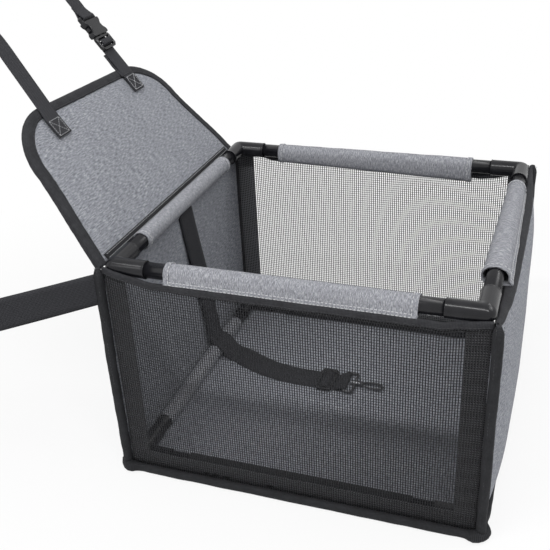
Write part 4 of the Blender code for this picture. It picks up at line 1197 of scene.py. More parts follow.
@dataclass
class SoftBox(Assembly):
    """Cloth end walls, net side walls and every binding and roll that holds them."""

    shape: WallShape = field(default_factory=WallShape)
    seam_allowance: float = 0.004
    # Nets
    column_pitch: float = 0.0028
    row_pitch: float = 0.0033
    strand: float = 0.00060
    row_strand_share: float = 0.55
    net_inset: float = 0.002
    upright_out: float = 0.0002
    row_in: float = 0.0001
    # Mesh tape behind a net, with its seams
    border: float = 0.025
    foot_border: float = 0.027
    strip_front: float = 0.0115
    strip_back: float = 0.0070
    strip_flat: float = 0.0150
    border_in: float = 0.0002
    border_thickness: float = 0.0004
    ragged: float = 0.0016
    foot_seam: float = 0.004
    side_seam: float = 0.003
    thread_lift: float = 0.0007
    # Tape over the top edges
    tape_half: float = 0.0017
    tape_depth: float = 0.0066
    tape_thickness: float = 0.0008
    tape_wave: float = 0.0004
    tape_hem: float = 0.0007
    tape_over: float = 0.0008
    tape_thread: float = 0.0005
    # Rolls in the corner seams
    roll: float = 0.0056
    roll_foot: float = 0.0105
    roll_over: float = 0.0005
    sway: float = 0.0008
    bow: float = 0.0006
    thread_out: float = 0.0050
    thread_in: float = 0.0022

    def build(self) -> None:
        """Build walls, nets and bindings."""
        for side in (Side.FRONT, Side.BACK):
            self.cloth_wall(side)
        for side in (Side.LEFT, Side.RIGHT):
            self.net(side)
            self.net_border(side)
        for side in Side:
            self.top_binding(side)
        for label, (sign_x, sign_y) in CORNERS.items():
            self.corner_roll(label, sign_x, sign_y)

    def wall_spot(self, side: Side, along: float, share: float, middle: float) -> Vector:
        """Place on a wall, from a place along it and a share of its height."""
        up = WALL_BOTTOM + (self.shape.top(side, along) - WALL_BOTTOM) * share
        return side.spot(along, middle + self.shape.out(side, along, share), up)

    def cloth_wall(self, side: Side) -> None:
        """Build a grey end wall.

        Args:
            side: front or back.
        """
        span = side.half + WALL_SPAN_EXTRA

        def spot(u: float, v: float) -> Vector:
            share = 0.4 * v + 0.3 - 0.3 * math.cos(math.pi * v)
            return self.wall_spot(side, (2 * u - 1) * span, share, CLOTH_MIDDLE)

        bm = mapped_grid(96, 64, spot, lambda u, v: (2 * span * u, WALL_TOP * v))
        name = f"{side.label}_wall"
        wall = self.keep(f"{name}_cloth", bm, CLOTH, Body.BASE, [name], CLOTH_THICKNESS, sinks=True)

    def net(self, side: Side) -> None:
        """Build a net of knitted strands, upright and level.

        Args:
            side: left or right.
        """
        edge = side.half + WALL_SPAN_EXTRA - self.net_inset
        row_edge = side.half + WALL_SPAN_EXTRA - self.net_inset / 2
        bm = bmesh.new()

        def strand(line: Callable[[float], Vector], steps: int, ahead: Vector, thick: float) -> None:
            over = side.outward.cross(ahead)

            def spot(u: float, v: float) -> Vector:
                angle = TURN * v
                return line(u) + (side.outward * math.cos(angle) * 0.8 + over * math.sin(angle)) * thick

            mapped_grid(steps, 5, spot, weld=True, bm=bm)

        def upright(along: float) -> Callable[[float], Vector]:
            return lambda u: self.wall_spot(side, along, 0.005 + 0.99 * u, NET_MIDDLE + self.upright_out)

        def row(share: float) -> Callable[[float], Vector]:
            return lambda u: self.wall_spot(side, (2 * u - 1) * row_edge, share, NET_MIDDLE - self.row_in)

        columns = round(2 * edge / self.column_pitch)
        for index in range(columns + 1):
            strand(upright((2 * index / columns - 1) * edge), 14, UP, self.strand)
        rows = round((WALL_TOP - WALL_BOTTOM) / self.row_pitch)
        for index in range(1, rows):
            strand(row(index / rows), 18, side.across, self.strand * self.row_strand_share)
        edges = [edge for edge in bm.edges if edge.is_boundary]
        bmesh.ops.holes_fill(bm, edges=edges, sides=0)
        name = f"{side.label}_net"
        self.keep(f"{name}_knit", bm, NET, Body.BASE, [name], sinks=True)

    def net_border(self, side: Side) -> None:
        """Build the mesh tape behind a net, with its ragged hem and its stitches.

        Args:
            side: left or right.
        """
        span = side.half + WALL_SPAN_EXTRA
        low, high = self.foot_border / WALL_TOP, 1 - self.strip_flat / WALL_TOP

        def flat(u: float, v: float) -> Vector:
            return Vector((u, v, 0.0))

        bm = mapped_grid(150, 104, flat, lambda u, v: (2 * span * u, WALL_TOP * v))

        def inside(face: bmesh.types.BMFace) -> bool:
            middle = face.calc_center_median()
            edge = (0.5 - abs(middle.x - 0.5)) * 2 * span
            return edge > self.border and low < middle.y < high

        bmesh.ops.delete(bm, geom=[face for face in bm.faces if inside(face)], context="FACES")
        for vert in bm.verts:
            u, v = vert.co.x, vert.co.y
            along = (2 * u - 1) * span
            edge = span - abs(along)
            front = 0.5 - along * side.across.y / (2 * span)
            strip = (self.strip_back + (self.strip_front - self.strip_back) * front) / WALL_TOP
            if v > high:
                v = 1 - (1 - v) * strip / (1 - high)
            elif v > low:
                v = low + (v - low) * (1 - strip - low) / (high - low)
            place = self.wall_spot(side, along, v, BORDER_MIDDLE - self.border_in)
            if edge > self.border * 1.1 and low * 0.8 < v < low * 1.3:
                place.z += self.ragged * ripple((along * 160, 0.2), 41.0)
            vert.co = place
        name = f"{side.label}_net_border"
        self.keep(f"{name}_mesh", bm, MESH_TAPE, Body.BASE, [name], self.border_thickness, sinks=True)
        threads = bmesh.new()
        foot = (self.foot_border - self.foot_seam) / WALL_TOP
        inner = span - self.border + self.side_seam
        seams = [[((2 * i / 90 - 1) * (span - self.border), foot) for i in range(91)]]
        seams += [[(sign * inner, 0.09 + 0.85 * i / 60) for i in range(61)] for sign in (-1, 1)]
        for seam in seams:
            out = NET_MIDDLE + self.thread_lift
            line = Trail([self.wall_spot(side, along, share, out) for along, share in seam])
            stitch_row(threads, line, side.outward, SEAM_STITCH)
        self.keep(f"{name}_stitches", threads, DARK_THREAD, Body.BASE, sinks=True, sharp=40)

    def top_binding(self, side: Side) -> None:
        """Build the tape folded over a wall's top edge.

        Args:
            side: the wall's side.
        """
        span = side.half + WALL_SPAN_EXTRA
        half, deep = self.tape_half, self.tape_depth
        fold = Trail([
            (-half, -deep), (-half, -0.0008), (-half * 0.6, 0.0002), (0, 0.0005), (half * 0.6, 0.0002),
            (half, -0.0008), (half + 0.0002, -deep * 0.6), (half + 0.0004, -deep),
        ])
        seed = 51.0 + list(Side).index(side)

        def spot(u: float, v: float) -> Vector:
            along = (2 * u - 1) * (span + 0.001)
            point = fold.at(v)
            wave = abs(self.tape_wave * ripple((along * 70, v), seed)) * (1 if v > 0.5 else -1)
            hem = self.tape_hem * ripple((along * 35, 0.4), seed + 1) * ease(v, 0.8, 1.0)
            share = min(1.0, 1 + point.y / WALL_TOP)
            out = CLOTH_MIDDLE + self.shape.out(side, along, share) + point.x + wave
            return side.spot(along, out, self.shape.top(side, along) + self.tape_over + point.y + hem)

        bm = mapped_grid(120, 16, spot, lambda u, v: (fold.length * v, 2 * span * u))
        name = f"top_binding_{side.label}"
        self.keep(f"{name}_tape", bm, TAPE, Body.BASE, [name], self.tape_thickness, sinks=True)
        threads = bmesh.new()
        line = Trail([spot(i / 160, 0.90) + side.outward * self.tape_thread for i in range(1, 160)])
        stitch_row(threads, line, side.outward, SEAM_STITCH)
        self.keep(f"{name}_stitches", threads, DARK_THREAD, Body.BASE, sinks=True, sharp=40)

    def corner_roll(self, label: str, sign_x: int, sign_y: int) -> None:
        """Build the upright binding roll in a corner seam.

        Args:
            label: the corner's name.
            sign_x: the corner's side across.
            sign_y: the corner's side along.
        """
        top = WALL_TOP + CORNER_TIPS[sign_x > 0, sign_y > 0] + self.roll_over
        low = self.roll_foot
        diagonal = Vector((sign_x, sign_y, 0.0)).normalized()
        seed = 61.0 + sign_x + 2 * sign_y
        points = []
        for step in range(33):
            share = step / 32
            sway = Vector((ripple((share * 6, 0), seed), ripple((share * 6, 5), seed), 0)) * self.sway
            pull = diagonal * (self.bow * math.sin(math.pi * share))
            x, y = sign_x * (HALF_WIDTH + ROLL_CENTRE), sign_y * (HALF_LENGTH + ROLL_CENTRE)
            points.append(Vector((x, y, low + (top - low) * share)) + sway + pull)

        def radius(u: float, angle: float) -> float:
            soft = 1 + 0.10 * ripple((u * 14, math.cos(angle)), seed)
            soft += 0.05 * ripple((u * 40, math.sin(angle)), seed)
            tip = ease(1 - u, 0.0, 0.03) * 0.55 + 0.45
            return self.roll * soft * tip

        bm = tube_along(Trail(points), radius, Vector((1, 0, 0)), 20, 60)
        name = f"corner_binding_{label}"
        self.keep(f"{name}_roll", bm, SEAM_TAPE, Body.BASE, [name], sinks=True)
        threads = bmesh.new()
        for ahead in (Vector((sign_x, 0, 0)), Vector((0, sign_y, 0))):
            beside = diagonal - ahead * diagonal.dot(ahead)
            line = Trail([point + ahead * self.thread_out - beside * self.thread_in for point in points])
            stitch_row(threads, line, ahead, SEAM_STITCH)
        self.keep(f"{name}_stitches", threads, DARK_THREAD, Body.BASE, sinks=True, sharp=40)


@dataclass
class Floor(Assembly):
    """Foot of the seat: the stiff board, the lining and the soft roll round it."""

    # Roll round the foot
    roll_out: float = 0.0214
    roll_in: float = 0.0131
    roll_height: float = 0.0120
    roll_gap: float = 0.0003
    corner: float = 0.013
    knob: float = 0.0050
    knob_reach: Pair = (0.009, 0.020)
    waist: float = 0.0016
    waist_at: float = 0.026
    waist_reach: float = 0.006
    lift: float = 0.0014
    dent: float = 0.0009
    fine_dent: float = 0.0004
    top_dent: float = 0.0005
    dent_inset: float = 0.0003
    girth: float = 0.038
    # Lining, which lies flat near its edge and under the tether
    lining_height: float = 0.0042
    lining_inset: float = 0.0004
    lining_fold: float = 0.0009
    flat_edge: float = 0.026
    fold_reach: float = 0.03
    tether_x: float = 0.040
    tether_clear: float = 0.052
    tether_reach: float = 0.012

    def build(self, nodes: dict[str, bpy.types.Object]) -> None:
        """Build the lining and the roll, and dress the board.

        Args:
            nodes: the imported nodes.
        """
        self.lining()
        self.binding()
        dress(nodes["floor_board"], BOARD)

    def lining(self) -> None:
        """Build the lining that lies on the board, with its soft folds."""
        half_x, half_y = (half + ELBOW_RADIUS - self.lining_inset for half in (HALF_WIDTH, HALF_LENGTH))

        def spot(u: float, v: float) -> Vector:
            x, y = (2 * u - 1) * half_x, (2 * v - 1) * half_y
            inside = ease(half_x - self.flat_edge - abs(x), 0.0, self.fold_reach)
            inside *= ease(half_y - self.flat_edge - abs(y), 0.0, self.fold_reach)
            clear = 1 - ease(self.tether_clear - abs(x - self.tether_x), 0.0, self.tether_reach)
            height = self.lining_fold * (0.5 + ripple((x * 16, y * 16), 71.0)) * inside * clear
            return Vector((x, y, self.lining_height + max(0.0, height)))

        bm = mapped_grid(90, 96, spot, lambda u, v: (2 * half_x * u, 2 * half_y * v))
        sheet = self.keep("floor_lining_cloth", bm, PAINTED_LIGHT_LINING, Body.BASE, ["floor_lining"], CLOTH_THICKNESS)

    def binding(self) -> None:
        """Build the soft roll round the foot, with bulging corners and dents."""
        middle = (self.roll_out + self.roll_in) / 2
        half_x, half_y = HALF_WIDTH + middle, HALF_LENGTH + middle
        turn = self.corner
        points = []
        for sign_x, sign_y, start in ((1, -1, -90), (1, 1, 0), (-1, 1, 90), (-1, -1, 180)):
            up = self.roll_height / 2 + self.roll_gap
            centre = Vector((sign_x * (half_x - turn), sign_y * (half_y - turn), up))
            for step in range(9):
                angle = math.radians(start + 90 * step / 8)
                points.append(centre + Vector((math.cos(angle), math.sin(angle), 0)) * turn)
        points.append(points[0])
        route = Trail(points)

        def spot(u: float, v: float) -> Vector:
            place = route.at(u)
            step = 0.002
            ahead = (route.at((u + step) % 1.0) - route.at((u - step) % 1.0)).normalized()
            out = ahead.cross(UP)
            angle = TURN * v
            cosine, sine = math.cos(angle), math.sin(angle)
            square = 0.62
            wide = math.copysign(abs(cosine) ** square, cosine) * (self.roll_out - self.roll_in) / 2
            high = math.copysign(abs(sine) ** square, sine) * (self.roll_height / 2 - self.roll_gap)
            edge = abs(abs(place.x) - half_x) + abs(abs(place.y) - half_y)
            knob = 1 - ease(edge, *self.knob_reach)
            waist = math.exp(-(((edge - self.waist_at) / self.waist_reach) ** 2))
            bulge = self.knob * knob - self.waist * waist
            if cosine > 0:
                dents = self.dent * ripple((place.x * 38, place.y * 38), 81.0)
                dents += self.fine_dent * ripple((place.x * 110, place.y * 110), 82.0)
                wide += (bulge + dents - self.dent_inset) * cosine
            if sine > 0:
                high += (self.top_dent * ripple((place.x * 30, place.y * 30), 83.0) + bulge * 0.3) * sine
            else:
                high += self.lift * (1 - knob) * (0.7 + 0.3 * ripple((place.x * 30, place.y * 30), 84.0))
            return place + out * wide + UP * high

        bm = mapped_grid(420, 18, spot, lambda u, v: (self.girth * v, route.length * u), weld=True)
        self.keep("base_binding_roll", bm, SEAM_TAPE, Body.BASE, ["base_binding"])


# Headrest flap


@dataclass
class Flap(Assembly):
    """Padded headrest flap with its binding, seams, straps and buckle webbing."""

    lean: float = math.radians(38)
    height: float = 0.190
    start: float = 0.008
    base_half: float = 0.195
    shoulder_half: float = 0.172
    top_half: float = 0.100
    corner_start: float = 0.122
    lop: float = 0.006
    # Pad
    face: float = 0.0124
    rear: float = 0.0194
    crown: float = 0.0010
    fold: float = 0.00045
    pressure: float = 3.0
    swell: float = 0.0034
    # Tape round the edge
    tape_width: float = 0.011
    tape_sheet: float = 0.0009
    tape_below: float = 0.004
    tape_front: float = 0.0010
    tape_rear: float = 0.0009
    pucker: float = 0.00035
    long_pucker: float = 0.0003
    hem_wave: float = 0.0005
    thread_lift: float = 0.0006
    # Cord and tape of the foot seam
    piping: float = 0.0018
    piping_depth: float = 0.01126
    piping_up: float = 0.0059
    piping_inset: float = 0.015
    piping_wave: float = 0.0003
    foot_tape_low: float = 0.0002
    foot_tape_high: float = 0.0085
    foot_tape_sheet: float = 0.0007
    foot_tape_lift: float = 0.0008
    foot_tape_wave: float = 0.0003
    foot_tape_inset: float = 0.002
    # Straps and the boxes that sew them on
    strap_x: float = 0.095
    strap_depth: float = 0.0095
    plug_depth: float = 0.0057
    patch_start: float = 0.148
    patch_end: float = 0.172
    patch_margin: float = 0.0026
    patch_seam: float = 0.0225
    strap_tuck: float = 0.0004
    strap_width: float = 0.025
    # Buckle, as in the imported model
    buckle_mouth: float = 0.234
    seat_gap: float = 0.0003
    ladder: float = 0.0200
    ladder_half: float = 0.0025
    ladder_gap: float = 0.0006
    bar_start: float = 0.0084
    bar_end: float = 0.0120
    ladder_edge: float = 0.0048
    socket: float = 0.0235
    socket_slot: float = 0.0040
    socket_bar: float = 0.0019
    # Free ends of the straps
    reach: float = 0.308
    slant: float = 0.0115
    slant_step: float = 0.0135
    bend_back: float = 0.290
    loop_thread: float = 0.0016
    loop_half: float = 0.010

    def spot(self, x: float, depth: float, up: float) -> Vector:
        """Place given across the flap, behind the tube's axis and up its face."""
        sine, cosine = math.sin(self.lean), math.cos(self.lean)
        return Vector((x, HALF_LENGTH + depth * cosine + up * sine, RIM_HEIGHT - depth * sine + up * cosine))

    @property
    def forward(self) -> Vector:
        """Way that the flap's face looks."""
        return self.spot(0, -1, 0) - self.spot(0, 0, 0)

    def sewn(self, x: float, depth: float, up: float) -> Vector:
        """Place on the flap's cloth, whose right shoulder is sewn lower and narrower than its left."""
        right = min(1.0, max(0.0, 0.5 + x / (2 * self.top_half)))
        narrow = self.lop * (ease(x, 0.0, 0.10) - 0.35 * ease(-x, 0.06, 0.17)) * ease(up, 0.03, 0.11)
        return self.spot(x - narrow, depth, up - self.lop * right * ease(up, 0.11, 0.18))

    def half_at(self, up: float, grow: float = 0.0) -> float:
        """Half the flap's width at a height, grown by a margin."""
        base, shoulder = self.base_half + grow, self.shoulder_half + grow
        if up <= self.corner_start:
            return base + (shoulder - base) * (up - self.start) / (self.corner_start - self.start)
        share = min(1.0, (up - self.corner_start) / (self.height + grow - self.corner_start))
        return self.top_half + (shoulder - self.top_half) * math.sqrt(1 - share * share)

    def outline(self) -> Trail:
        """Edge of the flap from its right foot round to its left foot."""
        wide, high = self.shoulder_half - self.top_half, self.height - self.corner_start
        right = [(self.base_half, self.start)]
        for step in range(17):
            angle = math.pi / 2 * step / 16
            right.append((self.top_half + wide * math.cos(angle), self.corner_start + high * math.sin(angle)))
        return Trail(right + [(-x, y) for x, y in reversed(right)])

    def build(self) -> None:
        """Build the pad, its binding, its seams and the webbing on it."""
        self.pad()
        self.binding()
        self.foot_seam()
        self.straps()

    def pad(self) -> None:
        """Build the padded body of the flap and let it swell between its seams."""
        inner, skin, straight = 0.0004, 0.0002, 0.62

        def level(v: float) -> float:
            if v <= straight:
                return self.start + (self.corner_start - self.start) * v / straight
            angle = math.pi / 2 * (v - straight) / (1 - straight)
            return self.corner_start + (self.height - inner - self.corner_start) * math.sin(angle)

        def front(u: float, v: float) -> Vector:
            up = level(v)
            return Vector(((2 * u - 1) * self.half_at(up, -inner), self.face + skin, up))

        bm = mapped_grid(92, 44, front, lambda u, v: ((2 * u - 1) * 0.18, level(v)))
        grown = bmesh.ops.extrude_face_region(bm, geom=list(bm.faces), use_keep_orig=True)
        rear = [part for part in grown["geom"] if isinstance(part, bmesh.types.BMVert)]
        for vert in rear:
            vert.co.y = self.rear - skin
        bmesh.ops.recalc_face_normals(bm, faces=bm.faces)
        mesh = bpy.data.meshes.new("flap_pad")
        bm.to_mesh(mesh)
        bm.free()
        held = [self.held(vert.co) for vert in mesh.vertices]
        inflate(mesh, held, self.pressure, self.swell)
        for vert, weight in zip(mesh.vertices, held):
            if vert.co.y < (self.face + self.rear) / 2:
                inside = 1 - weight
                folds = self.fold * ripple((vert.co.x * 34, vert.co.z * 30), 91.0) * inside
                vert.co.y -= self.crown * inside + folds
            vert.co = self.sewn(*vert.co)
        bm = bmesh.new()
        bm.from_mesh(mesh)
        bpy.data.meshes.remove(mesh)
        pad = self.keep("flap_pad", bm, CLOTH, Body.FLAP, ["flap_front", "flap_back"])

    def held(self, place: Vector) -> float:
        """How firmly the pad is held at a place: 1 under the binding, a patch or the foot seam.

        Args:
            place: across, depth and height on the flap.

        Returns:
            The hold, from 0 to 1.
        """
        up = place.z
        edge = self.half_at(up) - abs(place.x)
        top = self.height - up
        if up > self.corner_start and abs(place.x) > self.top_half:
            wide, high = self.shoulder_half - self.top_half, self.height - self.corner_start
            away = math.hypot((abs(place.x) - self.top_half) / wide, (up - self.corner_start) / high)
            edge = top = (1 - away) * min(wide, high)
        margin = min(edge, top)
        hold = 1 - ease(margin, self.tape_width - 0.002, self.tape_width + 0.006)
        foot = 1 - ease(up, self.start + 0.008, self.start + 0.016)
        across = abs(abs(place.x) - self.strap_x)
        patch = ease(up, self.patch_start - 0.008, self.patch_start - 0.001)
        return max(hold, foot, (1 - ease(across, 0.012, 0.019)) * patch)

    def binding(self) -> None:
        """Build the tape folded round the flap's edge, with its stitches."""
        line = self.outline()
        wide = self.tape_width
        front, rear = self.face - self.tape_front, self.rear + self.tape_rear
        middle = (front + rear) / 2
        fold = Trail(rounded([
            (-wide, front + 0.0003), (-wide * 0.6, front - 0.0005), (-0.002, front - 0.0003),
            (0.0007, front + 0.0015), (0.0014, middle), (0.0007, rear - 0.0015), (-0.002, rear + 0.0002),
            (-wide * 0.6, rear + 0.0003), (-wide, rear),
        ], 3))

        def spot(u: float, v: float) -> Vector:
            place, ahead = line.at(u), line.heading(u)
            out = Vector((ahead.y, -ahead.x))
            point = fold.at(v)
            pucker = self.pucker * ripple((u * 150, v * 3), 95.0)
            pucker += self.long_pucker * ripple((u * 45, v * 2), 96.0)
            hem = self.hem_wave * ripple((u * 60, 0.5), 97.0) * (1 - ease(v, 0.0, 0.15))
            flat = place + out * (point.x + hem)
            depth = point.y - (pucker if v < 0.5 else -pucker)
            return self.sewn(flat.x, depth, max(self.start - self.tape_below, flat.y))

        bm = mapped_grid(260, 22, spot, lambda u, v: (fold.length * v, line.length * u))
        self.keep("flap_binding", bm, TAPE, Body.FLAP, ["flap_tape"], self.tape_sheet)
        threads = bmesh.new()
        path = Trail([spot(i / 300, 0.055) + self.forward * self.thread_lift for i in range(1, 300)])
        stitch_row(threads, path, self.forward, FLAP_STITCH)
        self.keep("flap_binding_stitches", threads, DARK_THREAD, Body.FLAP, sharp=40)

    def foot_seam(self) -> None:
        """Build the corded seam along the flap's foot and the row of stitches above it."""
        half = self.base_half - self.piping_inset
        points = []
        for step in range(61):
            up = self.piping_up + self.piping_wave * ripple((step * 0.35, 0), 98.0)
            points.append(self.spot((2 * step / 60 - 1) * half, self.piping_depth, up))

        def radius(u: float, angle: float) -> float:
            return self.piping * (1 + 0.10 * ripple((u * 60, math.cos(angle)), 99.0))

        bm = tube_along(Trail(points), radius, UP, 14, 120)
        self.keep("flap_piping_cord", bm, SEAM_TAPE, Body.FLAP, ["flap_piping"])
        low, high = self.start + self.foot_tape_low, self.start + self.foot_tape_high

        def spot(u: float, v: float) -> Vector:
            lift = self.foot_tape_lift + self.foot_tape_wave * ripple((u * 90, v), 100.0)
            x = (2 * u - 1) * (half - self.foot_tape_inset)
            return self.spot(x, self.face - lift, low + (high - low) * v)

        bm = mapped_grid(120, 5, spot, lambda u, v: ((high - low) * v, 2 * half * u))
        self.keep("flap_foot_tape", bm, SEAM_TAPE, Body.FLAP, (), self.foot_tape_sheet)
        threads = bmesh.new()
        for share in (0.22, 0.80):
            path = Trail([spot(i / 120, share) + self.forward * self.thread_lift for i in range(1, 120)])
            stitch_row(threads, path, self.forward, FLAP_STITCH)
        self.keep("flap_foot_stitches", threads, GREY_THREAD, Body.FLAP, sharp=40)

    def loop_route(self, x: float, depth: float, low: float, straight: float) -> list[Vector]:
        """Route of webbing up from the flap, round its end loop and back to the loop's seam.

        Args:
            x: place across.
            depth: depth of the webbing's middle.
            low: height where the route starts.
            straight: height where the sewn part ends.

        Returns:
            The route's points.
        """
        points = [(low, HALF_WEBBING), *end_loop(straight)]
        return [self.spot(x, depth - out, up) for up, out in points]

    def slanted(self, x: float, depth: float, up: float) -> Vector:
        """Place on a slack strap, which runs up from its patch at a slant."""
        shift = min(1.15 * self.slant, 0.13 * (up - self.patch_end))
        return self.spot(x + shift - 0.12 * max(0.0, up - self.bend_back), depth - HALF_WEBBING, up)

    def strap(
        self, name: str, points: list[Vector], body: Body, stands_for: Sequence[str], steps: int
    ) -> None:
        """Build one length of the headrest webbing.

        Args:
            name: the piece's name.
            points: the webbing's middle line.
            body: the body that it rides on.
            stands_for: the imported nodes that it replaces.
            steps: faces along it.
        """
        bm = ribbon_along(Trail(rounded(points, 4)), self.strap_width, Vector((1, 0, 0)), steps, curl=-0.0001)
        self.keep(name, bm, WEBBING, body, stands_for, WEBBING_SHEET)

    def patch_stitches(self, x: float) -> None:
        """Build the box and cross that sew a strap to the flap.

        Args:
            x: the strap's place across.
        """
        threads = bmesh.new()
        half, low = self.strap_width / 2 - self.patch_margin, self.patch_start + self.patch_margin
        high = self.patch_start + self.patch_seam
        depth = self.strap_depth - HALF_WEBBING - 0.0002
        corners = [(x - half, low), (x + half, low), (x + half, high), (x - half, high)]
        lines = list(zip(corners, corners[1:] + corners[:1]))
        lines += [(corners[0], corners[2]), (corners[1], corners[3])]
        for (x_a, up_a), (x_b, up_b) in lines:
            path = Trail([self.spot(x_a, depth, up_a), self.spot(x_b, depth, up_b)])
            stitch_row(threads, path, self.forward, BOX_STITCH)
        side = "left" if x < 0 else "right"
        self.keep(f"headrest_patch_stitches_{side}", threads, PALE_THREAD, Body.FLAP, sharp=40)

    def straps(self) -> None:
        """Build both headrest straps, the short strap through the plug and their stitches."""
        self.left_strap()
        for x in (-self.strap_x, self.strap_x):
            self.patch_stitches(x)
        self.plug_strap()
        self.right_strap()
        self.loop_stitches("left", self.slant - self.strap_x, self.strap_depth, Body.FLAP)
        self.loop_stitches("right", self.strap_x, self.plug_depth, Body.SOCKET)

    def left_strap(self) -> None:
        """Build the plain strap, which runs slack from its patch to its end loop."""
        x, depth = -self.strap_x, self.strap_depth
        points = self.loop_route(x, depth, self.patch_start + self.strap_tuck, self.reach)
        for point in points[2:]:
            point.x += self.slant
        steps = (self.patch_end + self.slant_step * step for step in range(11))
        points[1:2] = [self.slanted(x, depth, up) for up in steps]
        self.strap("headrest_strap_left_webbing", points, Body.FLAP, ["headrest_strap_left"], 90)

    def plug_strap(self) -> None:
        """Build the short strap from its patch through the plug's ladder, and its free tail."""
        depth, plug = self.strap_depth, self.plug_depth
        low = self.buckle_mouth - self.seat_gap - self.ladder
        bar_low, bar_high = low + self.bar_start, low + self.bar_end
        front = plug - self.ladder_half - self.ladder_gap - HALF_WEBBING
        near_rear, near_front = (plug + 3 * depth) / 4, (plug + 3 * front) / 4
        route = [
            (self.patch_start + self.strap_tuck, depth), (self.patch_start + self.strap_width, depth),
            (low - self.ladder_edge, depth), (low + 0.0026, depth),
            (bar_low - 0.0033, near_rear), (bar_low - 0.0024, plug), (bar_low - 0.0014, near_front),
            (bar_low, front), (bar_high, front),
            (bar_high + 0.0014, near_front), (bar_high + 0.0024, plug), (bar_high + 0.0034, near_rear),
            (bar_high + self.ladder_edge, depth), (self.buckle_mouth - 0.0006, depth),
        ]
        points = [self.spot(self.strap_x, back, up) for up, back in route]
        self.strap("buckle_strap_webbing", points, Body.FLAP, ["buckle_strap"], 120)
        tail = [
            (low - 0.004, depth + 0.0017), (0.200, depth + 0.0017), (0.190, depth + 0.0020),
            (0.1735, depth - 0.0002),
        ]
        points = [self.spot(self.strap_x - 0.0035, back, up) for up, back in tail]
        self.strap("buckle_strap_tail", points, Body.FLAP, (), 30)

    def right_strap(self) -> None:
        """Build the strap that is looped round the socket's bar and ends in a sewn loop."""
        plug = self.plug_depth
        bar = self.buckle_mouth + self.socket + self.seat_gap + self.socket_slot + self.socket_bar
        bend = math.hypot(self.socket_bar, self.ladder_half) + self.seat_gap + HALF_WEBBING
        seam = bar + 0.008 + 3 * (bend - HALF_WEBBING)
        route = [(seam - 0.0006, plug + HALF_WEBBING), (seam - 0.008, plug + HALF_WEBBING)]
        for step in range(9):
            angle = math.radians(105 + 150 * step / 8)
            route.append((bar + bend * math.cos(angle), plug + bend * math.sin(angle)))
        route += [(seam - 0.008, plug - HALF_WEBBING), (seam, plug - HALF_WEBBING)]
        points = [self.spot(self.strap_x, back, up) for up, back in route]
        points += self.loop_route(self.strap_x, plug, seam + 0.006, self.reach)[1:]
        self.strap("headrest_strap_right_webbing", points, Body.SOCKET, ["headrest_strap_right"], 150)

    def loop_stitches(self, label: str, x: float, depth: float, body: Body) -> None:
        """Build the two rows of stitches that close a strap's end loop.

        Args:
            label: the strap's side.
            x: the loop's place across.
            depth: depth of the webbing's middle.
            body: the body that they ride on.
        """
        threads = bmesh.new()
        for row in LOOP_ROWS:
            sides = (-self.loop_half, self.loop_half)
            ends = [self.spot(x + side, depth - self.loop_thread, self.reach + row) for side in sides]
            stitch_row(threads, Trail(ends), self.forward, LOOP_STITCH)
        self.keep(f"headrest_loop_stitches_{label}", threads, PALE_THREAD, body, sharp=40)


def inflate(mesh: bpy.types.Mesh, held: Sequence[float], pressure: float, cap: float) -> None:
    """Swell a padded form by a short cloth simulation, held at its seams.

    Args:
        mesh: the form, which is changed in place.
        held: how firmly each point is held, from 0 to 1.
        pressure: pressure inside the form.
        cap: the furthest that a point may move.
    """
    scene = bpy.context.scene
    thing = bpy.data.objects.new("swelling", mesh)
    scene.collection.objects.link(thing)
    seams = thing.vertex_groups.new(name="seams")
    for index, weight in enumerate(held):
        seams.add([index], 1.0 if weight > 0.5 else weight, "REPLACE")
    cloth = thing.modifiers.new("cloth", "CLOTH")
    settings = cloth.settings
    settings.quality = 5
    settings.mass = 0.3
    settings.tension_stiffness = 8.0
    settings.compression_stiffness = 8.0
    settings.shear_stiffness = 3.0
    settings.bending_stiffness = 0.3
    settings.use_pressure = True
    settings.uniform_pressure_force = pressure
    settings.vertex_group_mass = "seams"
    settings.effector_weights.gravity = 0.0
    cloth.collision_settings.use_self_collision = False
    cloth.point_cache.frame_end = 20
    for frame in range(1, 21):
        scene.frame_set(frame)
    graph = bpy.context.evaluated_depsgraph_get()
    swollen = [vert.co.copy() for vert in thing.evaluated_get(graph).data.vertices]
    for vert, goal in zip(mesh.vertices, swollen):
        move = goal - vert.co
        if move.length > cap:
            move = move * (cap / move.length)
        vert.co += move
    thing.modifiers.remove(cloth)
    scene.frame_set(1)
    bpy.data.objects.remove(thing)


# Straps that leave the box, and the tether on its floor


